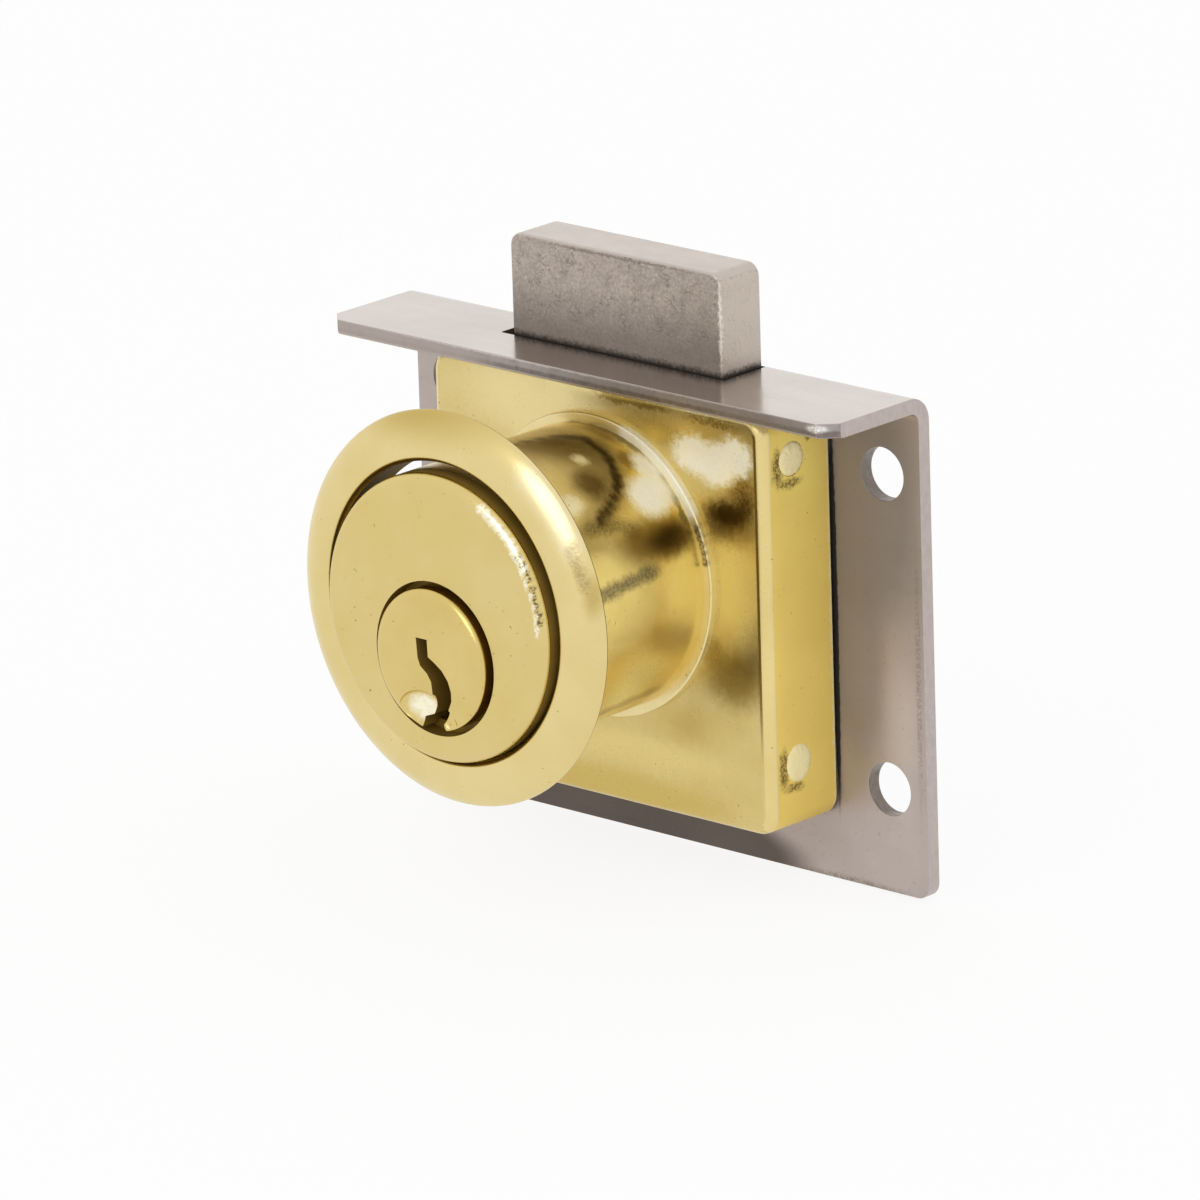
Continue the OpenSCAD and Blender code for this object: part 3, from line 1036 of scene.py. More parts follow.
@dataclass(frozen=True)
class Places:
    """Places and sizes that the pieces take from the frame.

    Args:
        plate: box of the back plate.
        case: box of the case, its collar included.
        barrel: box of the barrel.
        bolt: box of the bolt.
        bezel: box of the bezel.
        plug: box of the plug.
        cam: box of the cam.
        rivets: box of the four rivets together.
        screw_dx: distance between the screw holes across the plate.
        screw_dz: distance between the screw holes up the plate.
        screw_r: radius of the screw holes.
    """

    plate: Box
    case: Box
    barrel: Box
    bolt: Box
    bezel: Box
    plug: Box
    cam: Box
    rivets: Box
    screw_dx: float
    screw_dz: float
    screw_r: float

    @classmethod
    def read(cls) -> "Places":
        """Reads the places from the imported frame.

        Returns:
            The places.
        """
        nodes = {"plate": "back_plate", "case": "case_shell", "barrel": "cylinder_barrel", "bolt": "bolt",
                 "bezel": "bezel_ring", "plug": "plug", "cam": "drive_cam", "rivets": "case_rivets"}
        screws = next(m for m in frame["record"]["mounts"] if m["name"] == "plate_screws")["dims"]
        return cls(**{short: Box.of(node) for short, node in nodes.items()},
                   screw_dx=screws["spacing_x_mm"] * MM, screw_dz=screws["spacing_y_mm"] * MM,
                   screw_r=screws["hole_r_mm"] * MM)

    @property
    def barrel_z(self) -> float:
        """Height of the barrel's axis."""
        return (self.barrel.low.z + self.barrel.high.z) / 2

    @property
    def barrel_r(self) -> float:
        """Radius of the barrel."""
        return (self.barrel.high.x - self.barrel.low.x) / 2

    @property
    def face(self) -> float:
        """Depth of the barrel's face."""
        return -self.barrel.low.y

    @property
    def plug_z(self) -> float:
        """Height of the plug's axis."""
        return (self.cam.low.z + self.cam.high.z) / 2

    @property
    def head_r(self) -> float:
        """Radius of the plug's head."""
        return (self.plug.high.x - self.plug.low.x) / 2


@dataclass(frozen=True)
class Finishes:
    """The finishes of this lock, each with the marks, painted highlights, painted reflections and painted
    shade that lie where its own pieces have them.

    Args:
        at: places from the frame.
    """

    at: Places
    # In millimetres: Y of the case's front and of the plate's, and depth of the bezel's crown.
    CASE_FRONT = -7.5
    PLATE_FRONT = -1
    CROWN = 21.2
    GOLD = (0.73, 0.585, 0.25)
    MID_GOLD = (0.58, 0.42, 0.115)
    RICH_GOLD = (0.86, 0.66, 0.21)
    PALE_GOLD = (0.94, 0.82, 0.46)
    # Colour of the painted highlights; the dark brown and olive below serve painted reflections and painted
    # shade, and a few scuffed specks.
    PAINTED_HIGHLIGHT = (1, 0.955, 0.76)
    BROWN = (0.08, 0.043, 0.006)
    OLIVE = (0.27, 0.168, 0.027)
    NICKEL = (0.52, 0.45, 0.425)
    DEEP_NICKEL = (0.43, 0.37, 0.335)
    # Darker nickel for painted shade beside the case and for specks along the plate's right edge.
    DARKER_NICKEL = (0.3, 0.272, 0.285)
    SHADOW = (0.05, 0.042, 0.038)

    def round_barrel(self, turn: float, reach: float, depth: float) -> tuple[float, float, float]:
        """Place round the barrel's axis.

        Args:
            turn: angle from the lock's right upwards, in degrees.
            reach: distance from the axis in millimetres.
            depth: depth in millimetres.

        Returns:
            The place in millimetres.
        """
        angle = math.radians(turn)
        return reach * math.cos(angle), -depth, self.at.barrel_z / MM + reach * math.sin(angle)

    def along(self, corners: Sequence[Point], reach: float, steps: int) -> list[tuple[float, float, float]]:
        """Places along a path round the barrel's axis.

        Args:
            corners: angle in degrees and depth in millimetres of the path's corners.
            reach: distance from the axis in millimetres.
            steps: number of places from corner to corner.

        Returns:
            The places in millimetres.
        """
        places = []
        for (turn, depth), (next_turn, next_depth) in zip(corners, corners[1:]):
            for step in range(steps):
                share = step / steps
                places.append(self.round_barrel(turn + (next_turn - turn) * share, reach,
                                                depth + (next_depth - depth) * share))
        return places

    def case_front(self) -> Material:
        """Polished front of the case, painted with reflections: lighter and darker tones, dark blotches
        beside the barrel, painted highlights above them and along the top of the rim, and a darker band under
        the flange.
        """
        y = self.CASE_FRONT
        return PolishedPlating("case_front_brass", self.GOLD, (0.66, 0.51, 0.18), gloss=0.22, dull=0.32,
                               wave=0.016 * MM, metal=0.8, patches=(
            # Painted reflections: lighter and darker tones and dark blotches beside the barrel; a darker band
            # under the flange.
            Patch((-5, y, 13), (9, 3, 5), (0.85, 0.71, 0.345), 0.9, 0.3),
            Patch((4, y, 12.6), (4.5, 2, 1.6), (0.66, 0.51, 0.15), 0.75, 0.2),
            Patch((2, y, -9.2), (12, 3, 1.6), (0.8, 0.64, 0.25), 0.7, 0.3),
            Patch((1, y, -12), (13, 3, 1.8), (0.6, 0.43, 0.1), 0.8, 0.3),
            Patch((7, y, -6.6), (5, 2, 2.4), (0.52, 0.36, 0.075), 0.55, 0),
            Patch((2, y, -12), (11, 2, 3.4), (0.66, 0.5, 0.15), 0.65, 0),
            Patch((11.5, y, 3.4), (3.6, 2, 3.6), (0.84, 0.7, 0.31), 0.9, 0.5),
            Patch((3.4, y, 14.05), (4.2, 2, 0.45), (0.33, 0.215, 0.03), 0.85, 0.5),
            Patch((10, y, 13.8), (3, 2, 0.32), self.OLIVE, 0.8, 0.4, 0.6),
            Patch((11.2, y, 7.5), (3.3, 2, 2.1), self.OLIVE, 0.85, 0.2),
            Patch((12.5, y, 9.5), (1.6, 2, 1.8), self.OLIVE, 0.85, 0.3, 0.4),
            Patch((11.3, y, 8), (2.5, 2, 1.15), self.BROWN, 0.92, 0.3),
            Patch((12.7, y, 8.8), (1, 2, 1.2), self.BROWN, 0.8, 0.3, 0.4),
            Patch((11.4, y, -2.6), (3.6, 2, 3), (0.3, 0.19, 0.02), 0.85, 0.25),
            Patch((9.7, y, -1.4), (1.5, 2, 1.5), self.OLIVE, 0.5, 0.2)), painted_highlights=(
            # Painted highlights, the last along the top of the rim.
            Patch((8.4, y, 11.5), (2.4, 2, 1.7), self.PAINTED_HIGHLIGHT, 0.98, 0.45),
            Patch((10.2, y, 11.1), (2.4, 2, 1.9), self.PAINTED_HIGHLIGHT, 0.98, 0.5),
            Patch((11.9, y, 11.8), (2, 2, 1.7), self.PAINTED_HIGHLIGHT, 0.98, 0.5),
            Patch((8, y + 0.4, 14.5), (3.6, 1, 0.28), (1, 0.98, 0.9), 0.95, 0.6, 0.4))).make()

    def case_side(self) -> Material:
        """Side walls of the case, less polished than its front, painted lighter near the top against the
        flange's shadow, with a painted highlight along the rear edge, dark smears round the rivets that are
        partly painted shade, and a dark speck.
        """
        edge = self.at.case.high.x / MM
        return PolishedPlating("case_side_brass", (0.95, 0.7, 0.175), (0.89, 0.65, 0.155), gloss=0.35,
                               dull=0.45, wave=0.006 * MM, metal=0.15, ragged=0.2 * MM, patches=(
            # Painted light near the top and a painted highlight along the rear edge.
            Patch((edge, -4, 12), (1, 4, 5), (0.98, 0.77, 0.19), 0.9, 0.3),
            Patch((edge, -1.35, 0), (1, 0.16, 30), self.PALE_GOLD, 0.8, 0.5, 0.5),
            # Dark smears round the rivets, partly painted shade, and a speck.
            Patch((edge, -6.1, 11.2), (1, 0.75, 1.7), self.BROWN, 0.85, 0.3, 0.5),
            Patch((edge, -5, 10), (1, 1.5, 0.5), self.BROWN, 0.8, 0.3, 0.55),
            Patch((edge, -3.2, 12.6), (1, 0.35, 0.35), self.BROWN, 0.7, 0.3),
            Patch((edge, -6.2, -8.6), (1, 0.65, 1.8), self.BROWN, 0.85, 0.35, 0.5),
            Patch((edge, -5.2, -10), (1, 1.2, 0.45), self.BROWN, 0.8, 0.3, 0.6))).make()

    def rim(self) -> Material:
        """Rounded rim of the case's front, painted pale as lit."""
        return PolishedPlating("case_rim_brass", (0.85, 0.69, 0.31), (0.78, 0.62, 0.25), gloss=0.25,
                               dull=0.35, metal=0.7, ragged=0.15 * MM).make()

    def crease(self) -> Material:
        """Painted shade along where the rim starts and at the collar's foot, left out low down and at the
        left.
        """
        y = self.CASE_FRONT
        return PolishedPlating("crease_brass", self.OLIVE, (0.2, 0.12, 0.02), gloss=0.3, dull=0.4,
                               metal=0.6, patches=(
            Patch((0, y, -11), (30, 5, 9), self.GOLD, 1, 0.45),
            Patch((-14, y, 8), (14, 5, 9), self.GOLD, 1, 0.6))).make()

    def collar(self) -> Material:
        """Collar, painted pale as lit and darker at its top, with a painted highlight at its upper right and
        dark painted reflections at its right.
        """
        top = -self.at.case.low.y / MM
        bright = self.along(((70, top), (28, top)), 9.75, 9)
        dark = self.along(((24, top), (8, top)), 9.75, 5)
        return PolishedPlating("collar_brass", (0.92, 0.79, 0.43), (0.84, 0.7, 0.34), gloss=0.2,
                               dull=0.3, metal=0.7, ragged=0.12 * MM, patches=(
            Patch(self.round_barrel(92, 9.7, top), (3.4, 2, 1), self.MID_GOLD, 0.8, 0.3),
            *(Patch(place, (0.32, 1, 0.45), self.BROWN, 0.8, 0.4, 0.55) for place in dark)), painted_highlights=(
            *(Patch(place, (1.2, 1, 1.2), self.PAINTED_HIGHLIGHT, 0.9, 0.3) for place in bright),)).make()

    def rivet(self) -> Material:
        """Peened rivets, painted pale against the flange's shadow."""
        return PolishedPlating("rivet_brass", (1, 0.88, 0.48), (0.92, 0.78, 0.4), gloss=0.3, dull=0.45,
                               marks=0.04, metal=0.1).make()

    def barrel_face(self) -> Material:
        """Satin face of the barrel; at the upper right its edge is scuffed and carries a painted highlight,
        dark flecks and painted sparkles.
        """
        face = self.at.face / MM
        bright = self.along(((62, face), (28, face)), 9.05, 9)
        mixed = self.along(((36, face), (6, face)), 9.12, 9)
        sparkles = self.along(((30, face), (0, face)), 8.85, 6)
        return PolishedPlating("barrel_face_brass", self.GOLD, (0.69, 0.54, 0.2), gloss=0.18, dull=0.28,
                               wave=0.006 * MM, ragged=0.2 * MM, patches=(
            # Painted highlight along the edge, dark flecks and painted sparkles.
            *(Patch(place, (0.45, 0.7, 0.5), self.PAINTED_HIGHLIGHT, 0.95, 0.35, 0.3) for place in bright),
            *(Patch(place, (0.27, 0.7, 0.4), self.BROWN, 0.85, 0.3, 0.8) for place in mixed),
            *(Patch(place, (0.22, 0.7, 0.5), self.PAINTED_HIGHLIGHT, 0.8, 0.4, 0.5) for place in sparkles))).make()

    def barrel_neck(self) -> Material:
        """Neck of the barrel behind the bezel, painted with reflections: a dark bow, dark blotches and a
        streak, pale and dusky tones and painted highlights, with painted shade along the collar's foot.
        """
        reach = self.at.barrel_r / MM
        spot = self.round_barrel
        bow = self.along(((95, 14.4), (89, 11.5), (80, 10.4), (67, 10.6), (55, 11.4), (48, 12.3), (42, 14.1),
                          (38, 15.6)), reach, 3)
        tail = self.along(((37, 16.1), (35, 14), (28, 12)), reach, 2)
        streak = self.along(((11, 17.8), (13, 14.5), (15, 11)), reach, 2)
        foot = self.along(((-50, 14), (-43, 8.5)), reach, 3)
        crease = self.along(((98, 8.2), (22, 8.3)), reach, 9)
        dusky = (0.36, 0.235, 0.04)
        return PolishedPlating("barrel_neck_brass", self.RICH_GOLD, (0.8, 0.6, 0.18), gloss=0.2, dull=0.3,
                               grain=Grain.TORN, metal=0.85, ragged=0.22 * MM, patches=(
            # Painted reflections, with painted shade along the collar's foot.
            Patch(spot(-2, reach, 9.6), (2, 2.6, 6), (0.92, 0.78, 0.35), 0.9, 0.3),
            Patch(spot(-38, reach, 13), (4.5, 4, 5), (0.93, 0.86, 0.5), 0.85, 0.1),
            Patch(spot(88, reach, 12), (5, 4.5, 2.4), dusky, 0.85, 0.4),
            Patch(spot(79, reach, 8.6), (2.8, 1.1, 1.4), self.OLIVE, 0.9, 0.3),
            Patch(spot(60, reach, 9.4), (1.3, 1.2, 1.3), self.OLIVE, 0.85, 0.3),
            Patch(spot(84, reach, 12.2), (2, 1.4, 1), self.OLIVE, 0.7, 0.2),
            Patch(spot(55, reach, 13.9), (2, 2, 1.7), (0.2, 0.12, 0.018), 0.9, 0.25),
            Patch(spot(26, reach, 11.6), (2.2, 4.4, 2.3), self.OLIVE, 0.9, 0.3),
            *(Patch(place, (0.85, 0.6, 0.8), self.BROWN, 0.92, 0.1, 0.1) for place in bow),
            *(Patch(place, (1.2, 0.4, 1.2), self.BROWN, 0.7, 0.3) for place in crease),
            *(Patch(place, (0.9, 1.3, 0.9), self.BROWN, 0.55, 0.2, 0.4) for place in tail),
            Patch(spot(24, reach, 9.9), (1.7, 3.2, 1.7), (0.11, 0.063, 0.01), 0.92, 0.2, 0.1),
            *(Patch(place, (0.85, 1.7, 0.8), (0.13, 0.1, 0.05), 0.85, 0.2, 0.25) for place in streak),
            *(Patch(place, (1.2, 1.6, 0.9), self.OLIVE, 0.55, 0.2) for place in foot)), painted_highlights=(
            Patch(spot(68, reach, 12.7), (1, 0.9, 0.9), (1, 0.86, 0.42), 0.8, 0.2),
            Patch(spot(49, reach, 16.5), (1.1, 1.4, 1.3), self.PALE_GOLD, 0.85, 0.3),
            Patch(spot(43, reach, 9.9), (2.1, 2.5, 2), self.PAINTED_HIGHLIGHT, 0.98, 0.45),
            Patch(spot(54, reach, 8.8), (1.9, 1.2, 1.8), self.PAINTED_HIGHLIGHT, 0.98, 0.4))).make()

    def bezel(self) -> Material:
        """Bright crown of the bezel, with a painted darker band at its top, a painted highlight at its upper
        right and dark painted reflections beside it.
        """
        reflected_specks = self.along(((30, self.CROWN), (16, self.CROWN)), 12.25, 4)
        bright = self.along(((56, self.CROWN), (26, self.CROWN)), 12.2, 8)
        return PolishedPlating("bezel_brass", (0.79, 0.645, 0.3), (0.74, 0.595, 0.25), gloss=0.22,
                               dull=0.3, marks=0.0, ragged=0.12 * MM, patches=(
            # Painted reflections and a painted highlight.
            Patch((-3, -21, 15.8), (11, 3, 3.2), (0.56, 0.41, 0.115), 0.9, 0.1),
            Patch((12.1, -21, 6), (0.9, 1.5, 2), (0.5, 0.36, 0.1), 0.7, 0.1),
            *(Patch(place, (1.3, 1.3, 1.7), (0.97, 0.89, 0.66), 0.4, 0) for place in bright),
            *(Patch(place, (0.6, 1, 0.9), (0.3, 0.22, 0.08), 0.75, 0.1, 0.4) for place in reflected_specks))).make()

    def bezel_inside(self) -> Material:
        """Back and bore of the bezel, painted dark as shade."""
        return PolishedPlating("bezel_inside_brass", (0.14, 0.092, 0.022), (0.1, 0.062, 0.013), gloss=0.4,
                               dull=0.5, metal=0.3, film=0.1).make()

    def plug(self) -> Material:
        """Turned plug, a little warmer than the barrel's face, with a painted highlight in its scoop."""
        scoop = (-0.8, -self.at.face / MM - 0.25, self.at.plug_z / MM - 3.3)
        return PolishedPlating("plug_brass", (0.73, 0.575, 0.225), (0.67, 0.51, 0.175), gloss=0.16, dull=0.26,
                               wave=0.006 * MM, ragged=0.15 * MM, patches=(
            Patch(scoop, (1.7, 0.42, 1.1), self.PAINTED_HIGHLIGHT, 0.9, 0.5),)).make()

    def unlit(self) -> Material:
        """Dark brass painted as shade, for the keyway, the recess round the plug and the band behind the
        barrel's edge.
        """
        return PolishedPlating("keyway_brass", (0.3, 0.19, 0.04), (0.2, 0.12, 0.02), gloss=0.35, dull=0.45,
                               metal=0.3, wave=0, film=0.05).make()

    def plate_face(self) -> Material:
        """Satin nickel of the plate, with painted shade beside the case and below it, a painted shadow along
        the case's edge, a painted lighter band at the right and dark specks along its right edge and its
        foot.
        """
        y = self.PLATE_FRONT
        edge = self.at.case.high.x / MM
        foot = self.at.plate.low.z / MM
        return RolledNickel("plate_nickel", self.NICKEL, self.DEEP_NICKEL, gloss=0.4, dull=0.5, metal=0.6,
                            ragged=0.06 * MM, patches=(
            # Painted shade, a painted lighter band and a painted shadow, and specks along the edges.
            Patch((17.2, y, 8), (5.5, 0.9, 10), self.DARKER_NICKEL, 0.85, 0.5),
            Patch((16, y, -1), (3.2, 0.9, 13), self.DARKER_NICKEL, 0.8, 0.4),
            Patch((19.8, y, -6), (2.2, 0.9, 8), (0.63, 0.56, 0.55), 0.75, 0),
            Patch((-4, y, foot), (17, 0.9, 4), (0.11, 0.086, 0.075), 0.95, 0.75),
            Patch((4, y, foot), (5, 0.9, 4), (0.16, 0.13, 0.115), 0.5, 0),
            Patch((-8, y, foot), (4, 0.9, 4), (0.15, 0.12, 0.105), 0.5, 0),
            Patch((15, y, foot), (7, 0.9, 0.5), (0.2, 0.15, 0.1), 0.7, 0.3, 0.7),
            Patch((21.1, y, -2), (0.3, 0.9, 12), self.DARKER_NICKEL, 0.7, 0.4, 0.9),
            Patch((edge, y, 0.5), (0.3, 0.9, 14.4), self.SHADOW, 0.97, 0.75))).make()

    def flange_top(self) -> Material:
        """Nickel of the flange's top, glossier and painted brighter as lit from above."""
        return RolledNickel("flange_nickel", (0.55, 0.495, 0.45), (0.49, 0.44, 0.4), gloss=0.16,
                            dull=0.26).make()

    def cut_edge(self) -> Material:
        """Sheared sides of the plate."""
        return ShearedEdge("plate_cut_edge", self.NICKEL, self.DEEP_NICKEL).make()

    def hole_wall(self) -> Material:
        """Punched walls of the screw holes and of the slot, painted dark as shade."""
        return ShearedEdge("hole_edge", (0.24, 0.195, 0.17), (0.12, 0.1, 0.085)).make()

    def flange_lip(self) -> Material:
        """Front edge of the flange, torn along its lower half and lighter at its ends, with a light line
        along its top and painted highlights along its lower edge and at its right end.
        """
        top = self.at.plate.high.z / MM
        front = self.at.plate.low.y / MM
        return ShearedEdge("flange_cut_edge", (0.38, 0.335, 0.315), (0.17, 0.14, 0.125),
                           self.at.plate.high.z - 0.5 * MM, patches=(
            Patch((-17, front, top - 0.6), (12, 2, 1.5), (0.42, 0.36, 0.33), 0.85, 0.6),
            Patch((16, front, top - 0.6), (6, 2, 1.5), (0.36, 0.3, 0.27), 0.6, 0.4, 0.5),
            Patch((0, front, top - 0.05), (22, 2, 0.1), (0.7, 0.64, 0.6), 0.7, 0.5, 0.3),
            Patch((9, front, top - 0.9), (4, 2, 0.14), (1, 0.96, 0.85), 0.8, 0.4, 0.5),
            Patch((20.4, front, top - 0.35), (0.9, 2, 0.35), (1, 0.97, 0.93), 0.95, 0.4, 0.5))).make()

    def bolt(self) -> Material:
        """Blasted bolt, its top edge torn, its right side painted lighter as lit and a painted highlight
        along its right front edge.
        """
        low, high = self.at.bolt.low / MM, self.at.bolt.high / MM
        return BlastedSteel("bolt_steel", (0.53, 0.455, 0.395), (0.22, 0.182, 0.158), self.at.plate.high.z,
                            self.at.plate.high.z + 1 * MM, self.at.bolt.high.z - 2.4 * MM, (
            Patch((high.x, (low.y + high.y) / 2, high.z - 3), (0.3, 9, 5), (0.62, 0.54, 0.47), 0.8, 0.5),
            Patch((0, low.y, high.z - 0.26), (high.x, 0.3, 0.13), (0.2, 0.165, 0.14), 0.7, 0.4, 0.2),
            Patch((high.x - 0.1, low.y, high.z - 3), (0.16, 0.3, 4), (0.95, 0.88, 0.8), 0.7, 0.4, 0.5),
            )).make()

    def bolt_top(self) -> Material:
        """Smooth top of the bolt, painted lighter than its sides as lit from above."""
        return RolledNickel("bolt_top_steel", (0.58, 0.515, 0.46), (0.52, 0.455, 0.405), gloss=0.3, dull=0.4,
                            grain=Grain.EVEN, metal=0.7).make()

    def inner(self) -> dict[Metal, Material]:
        """Finishes of the inner pieces.

        Returns:
            The material of each metal.
        """
        metals = (PlainMetal(Metal.ZINC, (0.55, 0.55, 0.55), (0.42, 0.42, 0.42), 0.45),
                  PlainMetal(Metal.STEEL, (0.6, 0.59, 0.57), (0.5, 0.49, 0.47)),
                  PlainMetal(Metal.BRASS, self.GOLD, self.MID_GOLD),
                  PlainMetal(Metal.WIRE, (0.5, 0.5, 0.52), (0.4, 0.4, 0.42), 0.25, 0.1 * MM, 0.001 * MM))
        return {finish.metal: finish.make() for finish in metals}


@dataclass
class BackPlate:
    """The flanged back plate with its screw holes and its slot for the bolt.

    Args:
        at: places from the frame.
        thick: thickness of the sheet.
        bend: inner radius of the bend.
        corner: radius of the lower corners.
        clip: chamfer of the flange's front corners.
        lip_r: rounding of the flange's lower front edge.
        slot_left: room at the left of the bolt in the slot.
        slot_right: room at the right of the bolt in the slot.
        slot_gap: room before and behind the bolt in the slot.
        slot_r: rounding of the slot's corners.
        edge: width of the broken edges.
        border: how far past its rounding a cut edge keeps its own finish.
        stud_r: radius of the holes for the body's studs.
        stud_dx: distance between those holes across the plate.
        stud_dz: distance between them up the plate.
    """

    at: Places
    thick: float = 1.0 * MM
    bend: float = 0.7 * MM
    corner: float = 1.0 * MM
    clip: float = 1.1 * MM
    lip_r: float = 0.2 * MM
    slot_left: float = 0.95 * MM
    slot_right: float = 0.2 * MM
    slot_gap: float = 0.1 * MM
    slot_r: float = 0.15 * MM
    edge: float = 0.09 * MM
    border: float = 0.3 * MM
    stud_r: float = 1.25 * MM
    stud_dx: float = 22.35 * MM
    stud_dz: float = 12 * MM
    piece: Piece = field(init=False)

    def section(self) -> list[Point]:
        """Section of the bent sheet, as depth and height.

        Returns:
            The section's corners in order.
        """
        top, foot, front = self.at.plate.high.z, self.at.plate.low.z, -self.at.plate.low.y
        outer = self.bend + self.thick
        centre = (outer, top - outer)
        return [(0, foot), *arc(centre, outer, 180, 90, 14), (front, top), (front, top - self.thick),
                *arc(centre, self.bend, 90, 180, 10), (self.thick, foot)]

    def build(self) -> None:
        """Models the plate."""
        at, half_w = self.at, self.at.plate.high.x
        outline = [Vector((-half_w, -depth, height)) for depth, height in self.section()]
        piece = Bench.prism("plate", outline, Vector((2 * half_w, 0, 0)))
        Bench.round_edges(piece, lambda a, b: max(a.z, b.z) < at.plate.low.z + NEAR
                          and min(abs(a.x), abs(b.x)) > half_w - NEAR and abs(a.y - b.y) > NEAR,
                          self.corner, 8)
        Bench.round_edges(piece, lambda a, b: max(a.y, b.y) < at.plate.low.y + NEAR
                          and min(abs(a.x), abs(b.x)) > half_w - NEAR and abs(a.z - b.z) > NEAR,
                          self.clip, 1)
        under = at.plate.high.z - self.thick
        Bench.round_edges(piece, lambda a, b: max(a.y, b.y) < at.plate.low.y + self.clip + NEAR
                          and max(abs(a.z - under), abs(b.z - under)) < NEAR and abs(a.x - b.x) > NEAR,
                          self.lip_r, 3)
        for side in (-0.5, 0.5):
            for up in (-0.5, 0.5):
                self.pierce(piece, side * at.screw_dx, up * at.screw_dz, at.screw_r)
                self.pierce(piece, side * self.stud_dx, at.plug_z + up * self.stud_dz, self.stud_r)
        low = Vector((at.bolt.low.x - self.slot_left, at.bolt.low.y - self.slot_gap, under - SURPLUS))
        high = Vector((at.bolt.high.x + self.slot_right, at.bolt.high.y + self.slot_gap,
                       at.plate.high.z + SURPLUS))
        slot = Bench.block("slot", low, high)
        Bench.round_edges(slot, lambda a, b: abs(a.z - b.z) > NEAR, self.slot_r, 3)
        Bench.combine(piece, slot)
        Bench.break_edges(piece, self.edge)
        self.piece = piece

    def pierce(self, piece: Piece, x: float, z: float, radius: float) -> None:
        """Makes a round hole through the plate.

        Args:
            piece: the plate.
            x: the hole's place across it.
            z: the hole's height.
            radius: the hole's radius.
        """
        Bench.drill(piece, Vector((x, SURPLUS, z)), Vector((x, -self.thick - SURPLUS, z)), radius)

    def holed(self, centre: Vector, normal: Vector) -> bool:
        """Tells whether a face is the wall of a screw hole or of the slot.

        Args:
            centre: the face's centre.
            normal: its normal.

        Returns:
            True on such a wall.
        """
        at = self.at
        away = math.hypot(abs(centre.x) - at.screw_dx / 2, abs(centre.z) - at.screw_dz / 2)
        if away < at.screw_r + self.edge and abs(normal.y) < 0.5:
            return True
        round_bolt = abs(centre.x) < at.case.high.x and centre.y > at.bolt.low.y - 2 * self.slot_gap
        return round_bolt and centre.z > at.plate.high.z - self.thick and abs(normal.z) < 0.5

    def dress(self, face: Material, shelf: Material, cut: Material,
              lip: Material, hole: Material) -> None:
        """Gives the faces and the cut edges their finishes.

        Args:
            face: finish of the rolled faces.
            shelf: finish of the flange's top.
            cut: finish of the sheared edges.
            lip: finish of the flange's front edge.
            hole: finish of the holes' walls.
        """
        box = self.at.plate
        side = box.high.x - self.corner - self.border
        foot = box.low.z + self.corner + self.border
        front = box.low.y + self.clip + self.border
        Bench.paint(self.piece, face)
        Bench.paint(self.piece, shelf, lambda c, n: n.z > 0.4 and c.z > box.high.z - self.border)
        Bench.paint(self.piece, cut, lambda c, n: abs(n.x) > 0.35 and abs(c.x) > side
                    or n.z < -0.4 and c.z < foot)
        Bench.paint(self.piece, lip, lambda c, n: n.y < -0.3 and c.y < front and abs(n.z) < 0.3)
        Bench.paint(self.piece, hole, self.holed)
        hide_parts("back_plate")


